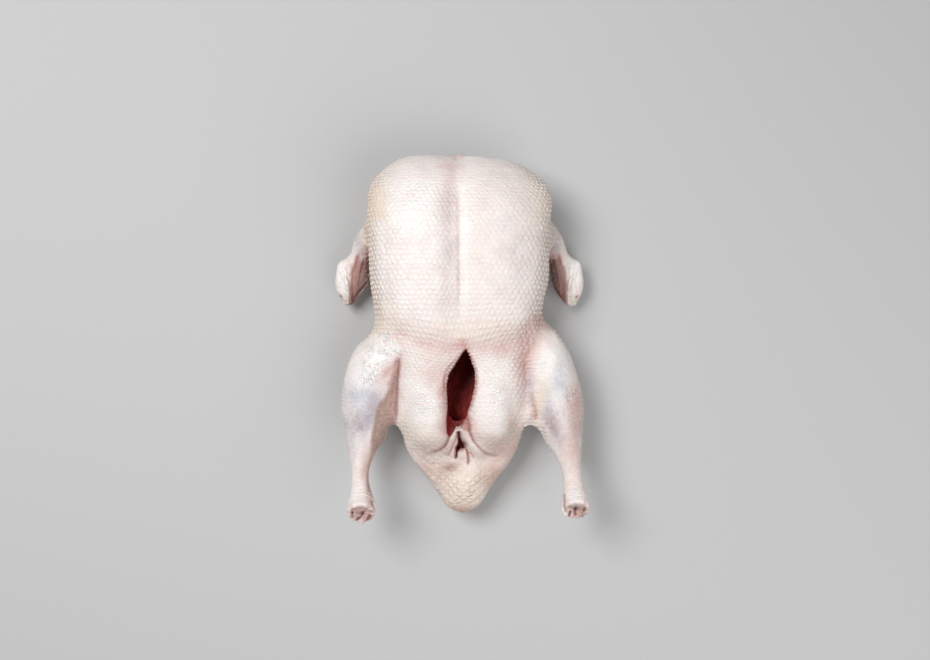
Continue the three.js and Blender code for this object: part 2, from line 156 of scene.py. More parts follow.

# Lines drawn in the skin from above. Each is: the points (mm), half width, height (below zero
# for a crease, and deep creases painted dark as shade), and how pink and how red it is.
LINES = [
    # the keel
    ([(-1.8, 133.3), (-1.7, 104.2), (-1.4, 74.1), (-1, 16.8)], 0.8, -1.2, 0.3, 0),
    ([(-8.6, 153.3), (-7.7, 96.9), (-5.9, 16.8)], 5.5, -0.6, 0, 0),
    # the soft folds at the breast's end
    ([(-61.4, 5), (-42.3, -4.1), (-17.7, -9.6), (2.3, -8.7)], 3.6, -0.6, 0.08, 0),
    ([(7.7, -8.7), (29.6, -12.3), (55.1, -6.9), (74.2, 5.9)], 3.6, -0.6, 0.08, 0),
    ([(0.5, -1.4), (5.5, -8.7), (5.9, -12.3)], 1.8, -0.6, 0.4, 0),
    # the left leg and the belly
    ([(-53.3, -10), (-56.8, -28), (-59.3, -50), (-58.8, -70)], 6, -1.8, 0.1, 0),
    ([(-53.2, -12.3), (-56, -20.5), (-59.6, -26.9), (-65.1, -34.2), (-70.5, -39.6)], 2, -1.6, 0.3,
      0),
    ([(-54.6, -16.9), (-56.4, -26.9), (-56.9, -37.8), (-57.8, -48.7), (-58.2, -61.5),
      (-56, -79.7)], 2.2, -2, 0.6, 0.05),
    ([(-55.1, -18.7), (-58.2, -27.8), (-61.9, -37.8), (-65.5, -49.6)], 1.3, -2.2, 0.55, 0),
    ([(-57.8, -32.3), (-60.1, -44.2), (-61, -55.1), (-62.8, -66.9)], 0.9, -1.9, 0.45, 0),
    ([(-62.3, -43.3), (-64.6, -53.3), (-66.9, -63.3)], 0.8, -1.5, 0.35, 0),
    ([(-55.1, -45.1), (-57.1, -55.1), (-58.7, -65.1)], 0.8, -1.2, 0.3, 0),
    ([(-59, -30.5), (-61.8, -42.4), (-63.6, -54.2)], 1, 1.3, 0, 0),
    # the right leg and the belly
    ([(58.7, -8), (60.7, -28), (61.2, -50), (60.7, -70)], 6, -1.8, 0.1, 0),
    ([(59.6, -21.4), (61.4, -37.8), (62.3, -57.8)], 2.4, -0.9, 0.25, 0),
    ([(64.6, -48.7), (66.9, -59.6), (69.4, -69.7), (68.3, -77.8)], 1.5, -2.5, 0.5, 0.03),
    ([(61.9, -57.8), (65.1, -66.9), (66.9, -76)], 1, -1.8, 0.35, 0),
    ([(60.5, -43.3), (63.7, -55.1), (65.8, -65.1)], 3, 0.7, 0, 0),
    ([(68.7, -43.3), (71.9, -55.1), (74.2, -66), (78.7, -76)], 3.2, 0.9, 0, 0),
    ([(44.1, 13.2), (55.1, 4.1), (58.7, -8.7), (56.9, -23.2)], 1.2, -0.5, 0.15, 0),
    ([(51.4, 15), (61.4, 4.1), (64.2, -8.7), (61.4, -23.2)], 1.2, -0.5, 0.15, 0),
    ([(58.7, 16.8), (66.9, 4.1), (68.7, -6.9), (66, -17.8)], 1.2, -0.4, 0.15, 0),
    # the lower edges of the two belly lobes
    ([(6.8, -77.8), (9.7, -88.3), (12.6, -94.7), (17.3, -100.6), (23.9, -106.3), (30.9, -108.9),
      (38.7, -110.3)], 1, -3, 0.6, 0),
    ([(-9.9, -88.8), (-11, -95.1), (-14.3, -100.1), (-19.6, -103.8), (-26.8, -106.1)], 1.2, -2.8,
      0.6, 0),
    ([(41.4, -95.1), (47.8, -99.7), (51.4, -97.9)], 1.6, -0.8, 0.2, 0),
    # the folds below the slit and the creases between them
    ([(-3.2, -76), (1.4, -84.2), (5.9, -91.9), (10.9, -98.8), (17.8, -105.1), (26.8, -111.1)],
      4.6, 3.4, 0.1, 0),
    ([(-2.7, -81.5), (-5.9, -90.6), (-9.1, -99.7), (-14.1, -109.7)], 4.4, 2.8, 0.3, 0),
    ([(-1.2, -85.1), (-0.3, -91.5), (1.4, -97)], 1.6, -5, 0.9, 0.85),
    ([(-1.7, -99.7), (-2.6, -105.1), (-3.5, -112.4)], 1.2, -3.8, 0.85, 0.55),
    ([(4.6, -100.1), (7.4, -106.1), (8.1, -111.1), (7.7, -117.9)], 0.9, -3, 0.85, 0.3),
    ([(8.7, -105.1), (10.9, -107.4), (13.7, -111.5)], 0.8, -2.4, 0.7, 0.1),
    ([(-1.4, -88.8), (-3.5, -95.4), (-7.2, -103.2), (-11.8, -111.1)], 0.9, -2.2, 0.55, 0.05),
    ([(-9.1, -68.7), (-8.2, -76.9), (-8.6, -85.1), (-10, -92.4)], 2.6, -1.8, 0.95, 0),
    ([(5.5, -70.6), (8.2, -77.8), (9.6, -86.9)], 2, -0.8, 0.9, 0),
    # the rolled lips of the slit
    ([(2.3, -12.3), (-8.6, -24.2), (-15.5, -37.8), (-16.8, -54.2), (-15, -70.6)], 2.2, 0.9, 0.15,
      0),
    ([(-4.1, -21.4), (-11.4, -30.5), (-13.7, -41.4), (-13, -52.4)], 0.9, -0.7, 0.6, 0),
    ([(8.3, -13.2), (15.4, -25.1), (17.8, -39.6), (15.9, -56), (10.5, -68.7)], 2.8, 0.7, 0.05, 0),
    # the cut joint of the left leg
    ([(-100.5, -158.8), (-96.9, -158.5), (-92.8, -160.1), (-89.6, -161.2), (-85.5, -159.4),
      (-81, -159.6), (-77.8, -162.5)], 0.9, -2.6, 0.5, 0),
    ([(-95.1, -167.9), (-91.8, -165.9), (-89.6, -163.7), (-88.2, -161)], 1, -3, 0.9, 0.2),
    ([(-97.3, -160.1), (-97.8, -162.9), (-96.7, -166.1)], 0.8, -2.8, 0.6, 0.05),
    ([(-84.4, -167), (-82.3, -164.8), (-80.3, -162.5)], 1.2, -3.6, 0.8, 0.1),
    ([(-80.1, -148.8), (-79.1, -153.4), (-77.3, -158.4)], 1, -3, 0.6, 0),
    # the cut joint of the right leg
    ([(97.4, -153.8), (101.5, -155.9), (106, -157.2), (110.6, -157.9), (115.8, -154.8)], 0.9,
      -2.8, 0.5, 0),
    ([(106, -157), (105.3, -159.7), (106.2, -163.9)], 0.9, -3.6, 0.8, 0.15),
    ([(102.2, -158.8), (100.6, -161.4), (99.5, -164.3)], 0.9, -3.6, 0.7, 0.05),
    ([(115.1, -155.7), (113.7, -157.9), (111.8, -159.7)], 0.9, -3.2, 0.7, 0.05),
    ([(94.9, -141.5), (95.6, -148.8), (96, -156.1), (97.3, -161.6)], 1, -3.4, 0.5, 0),
    ([(93.3, -141.5), (93.8, -148.8), (94, -156.1)], 0.9, 0.9, 0, 0),
    # the tail's base
    ([(18.7, -112.4), (13.2, -125.2), (5.9, -137.9), (2.3, -150.6)], 6, 1.4, 0, 0),
    ([(-15, -112.4), (-23.2, -125.2), (-20.5, -139.7)], 4.5, -1.2, 0.05, 0),
    ([(-35.9, -114.2), (-26.8, -125.2), (-14.1, -134.3)], 1, -0.5, 0.1, 0),
    ([(-41.4, -107.9), (-28.7, -114.2), (-17.7, -123.3)], 1, -0.5, 0.1, 0),
    ([(-6.8, -121.5), (4.1, -127), (18.7, -125.2)], 1.2, -0.5, 0.05, 0),
    ([(-38.7, -112.4), (-23.2, -117.9), (-6.8, -115.2)], 3, -0.9, 0.15, 0),
    ([(-32.3, -123.3), (-16.8, -128.8), (2.3, -125.2)], 2.4, -0.6, 0.1, 0),
    ([(13.2, -117.9), (29.6, -117), (44.1, -108.8)], 3, -0.7, 0.1, 0),
    ([(16.8, -125.2), (29.6, -130.6), (40.5, -121.5)], 2.2, -0.5, 0.1, 0),
]
# The same for a wing stub, drawn on the left one
WING_LINES = [
    ([(-104.8, 57.8), (-102.6, 48.7), (-100.9, 39.6), (-101.1, 30.4), (-101.8, 25.9)], 1.9, 3, 0,
      0),
    ([(-100.4, 67.8), (-100.2, 60.5), (-101.5, 54.1)], 1.3, 1.6, 0, 0),
    ([(-91.5, 78.7), (-93.3, 67.8), (-95.6, 57.8), (-97.1, 47.7), (-96.9, 37.7), (-98.7, 27.7)],
      1.7, -2.8, 0.95, 0.16),
    ([(-88.3, 73.2), (-90.5, 62.3), (-92.9, 51.4), (-94.2, 41.4)], 1.1, 1.2, 0, 0),
    ([(-95.5, 65.9), (-97.1, 57.8), (-98, 48.7)], 0.8, -1.2, 0.5, 0.05),
    ([(-86.9, 71.4), (-89.2, 62.3), (-91.9, 53.2)], 1.8, -0.8, 0.4, 0),
    ([(-104.6, 65), (-102.5, 57.8), (-101.3, 51.4)], 0.8, -1.2, 0.35, 0),
    ([(-82.8, 52.3), (-87.8, 45), (-93.3, 37.7), (-96.9, 31.4), (-99.1, 25.9)], 1.3, -3.2, 0.9,
      0.3),
    ([(-110.6, 60.5), (-108.3, 51.4), (-109.7, 42.3)], 1, -0.7, 0.15, 0),
    ([(-104.2, 72.3), (-108.7, 68.7), (-111.5, 63.2)], 1.6, 0.9, 0, 0),
    ([(-82.8, 95.1), (-83.6, 78.7), (-84.2, 62.3)], 1.3, -1, 0.75, 0.1),
]
WING_MIRROR_X = -1.1

# Steps in the skin: the points, half width of the slope, height gained on the left of
# the way the line runs, and how far that height reaches
STEPS = [
    ([(-36.9, -108.8), (-25, -105.6), (-16.1, -101), (-11.6, -94.2), (-10.9, -84.2)], 1.8, 2.4,
      12),
    ([(7.7, -78.3), (10.9, -90.6), (16.4, -100.6), (23.2, -106.1), (38.7, -109.7)], 1.8, 2.4, 12),
    ([(-1.1, 153.3), (-1.1, 110.5), (-0.6, 65), (-0.2, 18.6)], 1.2, 1.2, 12),
    ([(-63.8, -40), (-68, -53.7), (-74.7, -66.9), (-76.9, -80.1), (-79.1, -93.2), (-77.9, -103)],
      4.5, -1.4, 12),
    ([(72.7, -78), (80.7, -90), (88.7, -102)], 2, 1, 8),
    ([(99.3, -153), (106.3, -151.5), (115, -153)], 0.9, 0.9, 6),
    ([(-99.3, -157), (-91.3, -155), (-82.3, -157.5)], 0.9, 0.9, 6),
]

# Round dents and lumps seen from above: x, y, radius, height (deep dents painted dark as shade),
# pink, red
DOTS = [
    (1.9, -99, 3.4, -7.5, 0.9, 0.75),
    (-1.5, -102, 2.2, -4.5, 0.9, 0.8),
    (1.7, -107.9, 4.4, 2.8, 0.2, 0),
    (1.4, -76.9, 3, 0.8, 0.9, 0.45),
    # the cut joint of the left leg
    (-88.4, -161.4, 1.4, -2.4, 0.8, 0.1),
    (-97.5, -160.3, 1.2, -2.6, 0.6, 0.05),
    (-86, -165.7, 2, 1.8, 0, 0),
    (-94.6, -162.5, 2.2, 1.6, 0.1, 0),
    (-89.2, -169.8, 2.4, 1.4, 0.1, 0),
    (-93.5, -161.8, 2.8, 2.2, 0.1, 0),
    (-84.9, -160.2, 2.6, 1.9, 0.2, 0),
    (-84.6, -168, 2.4, 2, 0.15, 0),
    (-95.9, -166.4, 2.8, 1.6, 0.3, 0),
    (-76.8, -156.2, 2.6, 2.6, 0.1, 0),
    # the cut joint of the right leg
    (106, -157.2, 1.4, -2.6, 0.8, 0.1),
    (110.1, -161.6, 2.6, 1.8, 0.05, 0),
    (103.1, -162.9, 1.8, 1.4, 0.1, 0),
    (103.3, -158.6, 2.2, 1.5, 0.3, 0),
    (109.9, -156.4, 2.6, 1.8, 0.1, 0),
    (109.7, -162.4, 2.6, 1.7, 0.1, 0),
    (102.3, -164.4, 2.4, 1.3, 0.1, 0),
    # the neck
    (-3.6, 162.4, 1.8, -1.2, 0.8, 0.1),
    (0, 165.6, 2.6, 1.4, 0.3, 0),
    # the wing stubs' small holes
    (-108.2, 36.5, 1.1, -0.9, 0.9, 0.5),
    (106.6, 36.2, 1.1, -0.9, 0.9, 0.5),
]

# Soft swellings and hollows of the flesh: their middle, reach and height (mm)
BULGES = [
    ((-32, -62, 66), 24, 2.4),
    ((34, -61, 66), 24, 2.4),
    ((-30, -86, 56), 15, 2.2),
    ((30, -84, 58), 15, 2.2),
    ((8, -128, 42), 12, 1.6),
    ((-24, -123, 40), 12, -1.6),
    ((34, -112, 44), 10, -0.8),
    ((-111.4, 67.3, 24), 6, 3.0),
    ((-87, 55, 24), 9, 2.6),
    ((-94.5, 91, 27), 10, 2.4),
    ((94, 91, 27), 10, 1.0),
    ((-110.5, 31, 22), 6, -2.6),
    ((108, 31, 22), 6, -2.4),
    ((-52, 157, 48), 24, 4.5),
    ((-76, 138, 48), 14, 1.2),
    ((82, 13, 38), 9, 2.2),
    ((111.0, 67.3, 24), 6, 3.0),
    ((-103.5, 80, 27), 7, -1.2),
    ((103.1, 80, 27), 7, -1.2),
]

# Cut ends of the legs: the middle of the end, which way it faces, its radius (mm)
LEG_ENDS = [
    ((-87.2, -155.3, 75.5), (0.03, -0.5, 0.87), 13.0),
    ((103.8, -152.8, 75.0), (0.04, -0.52, 0.85), 13.0),
]

# Soft patches seen from above, by what they change: x, y, reach across and along (mm), how
# much, and the turn in degrees where there is one. Red is bare flesh, and the flesh's painted
# shade keeps it dark; specks are small pink marks, wet skin shines, smooth skin has no
# follicles, wrinkled skin is crumpled, and crackled skin is thin and finely cracked. Pale
# patches are painted light, dark ones are painted shade and small specks, and the tan and
# lilac ones are partly painted shade.
PATCHES = {
    # Pink skin, and painted shade along the fold at the breast's end
    "pink": [
        (-0.9, 164.7, 5, 4, 0.7), (-9.5, 156.9, 9, 9, 0.32), (3.2, -7.8, 10, 5, 0.6),
        (-19.6, -10.5, 28, 8, 0.42, -8), (32.3, -10.5, 26, 8, 0.38, 4), (-58.7, -0.5, 9, 7, 0.4),
        (59.6, -14.1, 8, 24, 0.42, -12), (71.4, 13.2, 6, 12, 0.35), (-17.3, -35, 9, 18, 0.35, 10),
        (-12.3, -85, 6, 12, 0.45), (11.7, -84, 6, 12, 0.4), (45.7, -103, 24, 11, 0.22, 20),
        (77.7, 6, 10, 18, 0.2), (-59.3, -62, 7, 26, 0.25), (107.8, -54.2, 6, 20, 0.5),
        (61.4, -7.8, 9, 20, 0.3, -10), (-15.9, -50.5, 4, 24, 0.35), (-86.3, -116, 7, 18, 0.45),
        (104.7, -112, 7, 22, 0.42, 8), (-92.3, 48, 9, 18, 0.4, 15), (90.2, 48, 9, 18, 0.4, -15),
        (-90.3, -160, 15, 9, 0.3), (107.7, -158, 15, 9, 0.3), (-10.5, 133.3, 8, 34, 0.12),
        (106.9, 42.3, 2, 5, 0.3), (84.2, 56.8, 5, 11, 0.45), (-86.4, 58.7, 5, 11, 0.35),
        (-28.7, -32.3, 12, 10, 0.42), (-66, -31.4, 5, 13, 0.4, -38), (56.9, -44.2, 4.5, 28, 0.3),
        (-0.4, -79.7, 5, 6, 0.75), (4.6, -81.5, 4, 6, 0.85, 20), (106, -65.1, 5, 13, 0.3),
        (101.5, -56.9, 6, 9, 0.35), (-86.9, -120.6, 2.5, 9, 0.35, -5),
        (100.6, -114.2, 5, 16, 0.2),
    ],
    # Lilac skin, and painted shade in the valley beside the keel
    "lilac_and_shade": [
        (94.2, -105.1, 4, 18, 0.3, 10), (-81.4, -66.9, 6, 17, 0.95, -10),
        (-91.5, -80.6, 9, 13, 0.92), (-75.1, -53.3, 6, 8, 0.5, 30),
        (91.5, -43.3, 5, 12, 0.08, -10), (63.2, -44.2, 4.5, 14, 0.8), (104.7, -86, 8, 22, 0.4),
        (-9.5, 87.8, 8, 66, 0.2), (52.7, 88, 24, 52, 0.2), (-88.3, 78, 7, 18, 0.9, 20),
        (86.7, 78, 7, 18, 0.8, -20), (-83.3, 58, 4, 12, 0.5, 12), (80.7, 58, 4, 12, 0.5, -12),
        (96.9, -76, 7, 20, 0.3),
    ],
    # Tan skin, and painted shade under the belly lobes, on the tail, at the slit's front, on the
    # wing stubs' inner faces and on the sides of the legs turned from the light
    "tan": [
        (22.3, -7.8, 15, 6, 0.22), (-61.4, -32.3, 9, 12, 0.45, -30), (-82.3, -126.1, 4, 26, 0.6),
        (-80.5, -143.4, 3.5, 12, 0.6), (-97.8, -85.1, 4, 30, 0.15), (85.1, -79.7, 7, 12, 0.3, 15),
        (-8.6, -119.2, 9, 4.5, 0.92, 10), (26.8, -130.6, 8, 12, 0.52, -25),
        (105.1, -70.6, 9, 22, 0.5), (2.3, -107.9, 34, 8, 0.15), (74.2, 13.2, 6, 12, 0.3),
        (106, -86.9, 7, 20, 0.25), (87.8, 62.3, 7, 24, 0.8, 20), (90.2, 47.7, 3.5, 13, 0.85, 25),
        (-89.6, 60.5, 7, 24, 0.65, -20), (-92.4, 47.7, 3.5, 13, 0.8, -25),
        (-29.6, -120.6, 15, 12, 0.55), (-17.7, -137.9, 10, 12, 0.25, 30),
        (1.4, -160.7, 18, 8, 0.85), (33.2, -121.5, 12, 12, 0.6), (0.5, -141.5, 26, 20, 0.14),
        (44.1, -107.9, 9, 12, 0.5), (-26.8, -103.3, 24, 6, 0.35), (29.6, -97.9, 17, 8, 0.55, -12),
        (48.7, -83.3, 6, 18, 0.5, 8), (-25.9, -98.8, 16, 6, 0.3, 12), (2.3, -74.2, 6, 4, 0.6),
        (-15.9, -83.3, 6, 9, 0.3), (-11.4, -100.6, 5, 8, 0.4, 20), (47.8, -1.4, 20, 10, 0.42, 20),
        (-83.3, 110.5, 6, 70, 0.12), (-97.8, -163.4, 6, 6, 0.5), (-82.8, -164.7, 6, 6, 0.85),
        (-82.8, -167.5, 3, 2.5, 0.7), (111.9, -159.7, 7, 6, 0.75), (-101.5, 28.6, 4, 5, 0.5),
        (74.2, -56, 6, 13, 0.15), (96.9, -99.7, 10, 13, 0.4),
    ],
    "grey": [
        (-87.8, -65.1, 11, 22, 0.95, -6), (-93.3, -103.3, 10, 16, 0.42),
        (88.7, -38.7, 7, 15, 0.62, -10), (93.3, -48.7, 7, 14, 0.4, -14),
        (85.1, -76, 7, 22, 0.85, 12), (-90.5, -52.4, 14, 13, 0.7), (-104.2, -71.5, 5, 26, 0.3),
        (-88.7, -61.5, 7, 9, 0.9),
    ],
    # Painted light: highlights and lit sides on the belly lobes, thighs, legs, wing stubs, tail and
    # neck, the fold below the slit, and the breast and keel
    "painted_light": [
        (90.6, -42.4, 9, 17, 0.95, -10), (-102.7, 47.7, 3, 14, 0.9, -6),
        (100.4, 47.7, 3, 14, 0.9, 6), (-33.2, -61.5, 20, 34, 0.95), (32.3, -46.9, 19, 38, 0.92),
        (-76, -19.6, 18, 20, 0.6, -20), (-43.2, 119.6, 24, 40, 0.35), (5.9, 87.8, 5, 60, 0.35),
        (82.4, -14.1, 14, 24, 0.95, -15), (103.3, -139.7, 7, 9, 0.5), (-107.8, 55, 6, 20, 1, 8),
        (105.7, 55, 6, 20, 1, -8), (-92.4, -148.8, 9, 6, 0.8), (106, -147, 9, 6, 0.8),
        (-4.1, -135.2, 10, 8, 0.9), (-50.5, -83.3, 5, 14, 0.9, -8),
        (-86.9, -28.7, 10, 16, 0.8, -14), (9.6, -133.4, 8, 10, 0.75), (10.5, -97.9, 5, 10, 1, 30),
        (2.3, 162.4, 40, 6, 0.8),
    ],
    # Small dark specks on the calves, and painted shade in the pits and under the rims of the cut
    # leg ends, at the slit's back end and in the fold at the tail's base
    "shade_and_dark_specks": [
        (-93.3, -72.4, 1.2, 2, 0.3, 20), (-96.5, -76.9, 1, 2.2, 0.3, -20),
        (-89.6, -82.4, 1.5, 2.4, 0.35, 10), (-93.7, -85.1, 1.1, 1.6, 0.3, 30),
        (-84.6, -74.2, 1.2, 1.8, 0.25, -30), (-99.2, -69.7, 1, 1.8, 0.2),
        (79.6, -79.7, 1.4, 1.4, 0.4), (83.3, -83.3, 1.6, 1.2, 0.45),
        (86, -74.2, 1, 1.6, 0.35, 20), (89.2, -69.7, 1, 1.4, 0.3), (91.9, -76.9, 1.2, 2, 0.3, 20),
        (-8.2, -82.4, 3.5, 6, 0.35), (-2, -78.6, 5.2, 4, 0.85),
        (-97.5, -160.1, 1.1, 1.5, 0.8, 20), (-88.4, -161.2, 1.3, 1.2, 0.8),
        (-91.8, -165.7, 2.6, 1.2, 0.65, 30), (-82.2, -164.3, 1.4, 2.4, 0.62, -30),
        (100.6, -161.4, 0.9, 2.2, 0.6, -18), (105.7, -160.7, 0.8, 2.4, 0.5),
        (113.7, -157.9, 1.3, 2.3, 0.65, -35), (-83, -166.7, 3.4, 3.4, 0.3),
        (112.4, -162.1, 3.4, 3.6, 0.28), (-8.6, -119.2, 7, 3.5, 0.22, 10),
        (84.2, -80.6, 3.4, 9, 0.22, 12), (88.7, -88.8, 2.2, 6, 0.14, 16),
        (-79.1, -154.7, 1, 3.5, 0.45, 20), (106, -156.8, 1.3, 1.1, 0.8),
        (96, -156.1, 0.9, 4, 0.45, 10),
    ],
    "yellow": [
        (-79.3, 112, 11, 40, 0.55), (-78.3, 34, 11, 30, 0.55), (77.7, 97, 14, 54, 0.5),
        (79.7, 34, 9, 30, 0.45), (-68.3, 10, 17, 12, 0.45), (-50.5, -85.1, 4, 14, 0.5, -8),
        (74.2, -56, 6, 18, 0.7, -14), (25.9, -130.6, 10, 14, 0.7, -25), (1.4, -159.7, 18, 9, 1),
        (-31.4, -91.5, 15, 9, 0.4), (51.4, -86.9, 7, 14, 0.45), (-70.3, -76, 9, 18, 0.6),
        (1.7, -138, 32, 26, 0.55), (18.7, 5, 36, 9, 0.4), (-102, 35.9, 2, 8, 0.4, -6),
        (100, 36.8, 2.2, 9, 0.5, 6), (105.1, 33.2, 4, 7, 0.5), (31.4, -101.5, 18, 9, 0.35),
    ],
    "wet": [
        (-102.7, 44.1, 2.2, 13, 0.8, -6), (100.6, 44.1, 2.2, 13, 0.8, 6),
        (-105.1, 60.5, 3, 6, 0.7), (101.9, 60.5, 3, 6, 0.7), (-81.3, -16, 18, 28, 0.3, -12),
        (-44.3, 110, 34, 52, 0.1), (101.5, -56, 8, 12, 1), (74.2, -32.3, 10, 22, 0.6, -15),
        (4.7, -90, 9, 18, 0.9), (-31.3, -60, 14, 22, 0.4), (32.7, -50, 12, 26, 0.35),
        (-107.3, 52, 6, 12, 0.4), (-87.3, -158, 12, 10, 0.5), (105.7, -154, 12, 10, 0.5),
    ],
    "specks": [
        (-91.5, -76.9, 9, 13, 1), (87.8, -74.2, 7, 8, 1), (109.7, -57.8, 5, 10, 0.6),
    ],
    "smooth": [
        (-83.3, -30, 26, 42, 0.95), (-89.3, -88, 24, 50, 0.97), (97.7, -36, 18, 36, 0.95, -8),
        (74.7, -36, 11, 32, 0.6, -8), (97.7, -92, 24, 50, 0.97), (-101.3, 55, 16, 40, 0.95, 15),
        (99.2, 55, 16, 40, 0.95, -15), (-0.3, -97, 17, 18, 0.97), (-33.3, -66, 28, 38, 0.95),
        (32.7, -66, 22, 38, 0.95), (-0.4, 160.6, 12, 8, 0.9), (-91.5, 94.1, 6, 17, 0.95, -22),
        (-86.4, 91.4, 4.4, 12, 0.85, -14), (89.3, 94.1, 6, 17, 0.95, 22),
        (-110.6, 46.8, 9, 24, 0.9), (108.4, 46.8, 9, 24, 0.9), (38.7, 98.7, 30, 62, 0.42),
    ],
    "wrinkle": [
        (-31.3, -60, 24, 46, 1), (34.7, -60, 24, 46, 1), (-1.3, -116, 44, 14, 0.7),
        (-88.3, -130, 15, 34, 0.75), (104.7, -128, 15, 34, 0.75), (-83.3, -20, 22, 36, 0.5),
        (84.7, -30, 22, 40, 0.5), (-44.3, 60, 36, 70, 0.35), (-66, -61.5, 9, 26, 1),
    ],
    # Painted shade that keeps the flesh dark at the slit's back end
    "deep": [(-1.4, -78.3, 8, 6.5, 1)],
    "crackle": [(101, -55.1, 6, 9, 1)],
}

# Outlines (mm) of crisp patches that are used twice
RIGHT_WING_FACE = [
    (81.1, 67.8), (89.3, 71.4), (93.8, 55), (95.3, 43.2), (96.2, 27.7), (94.7, 29.5),
    (87.5, 40.5), (80.2, 53.2)
]
RIGHT_CALF_STREAK = [
    (78.7, -61.5), (85.1, -67.8), (90.6, -80.6), (94.2, -95.1), (92.4, -101.5), (85.1, -91.5),
    (78.7, -80.6), (74.2, -68.7)
]
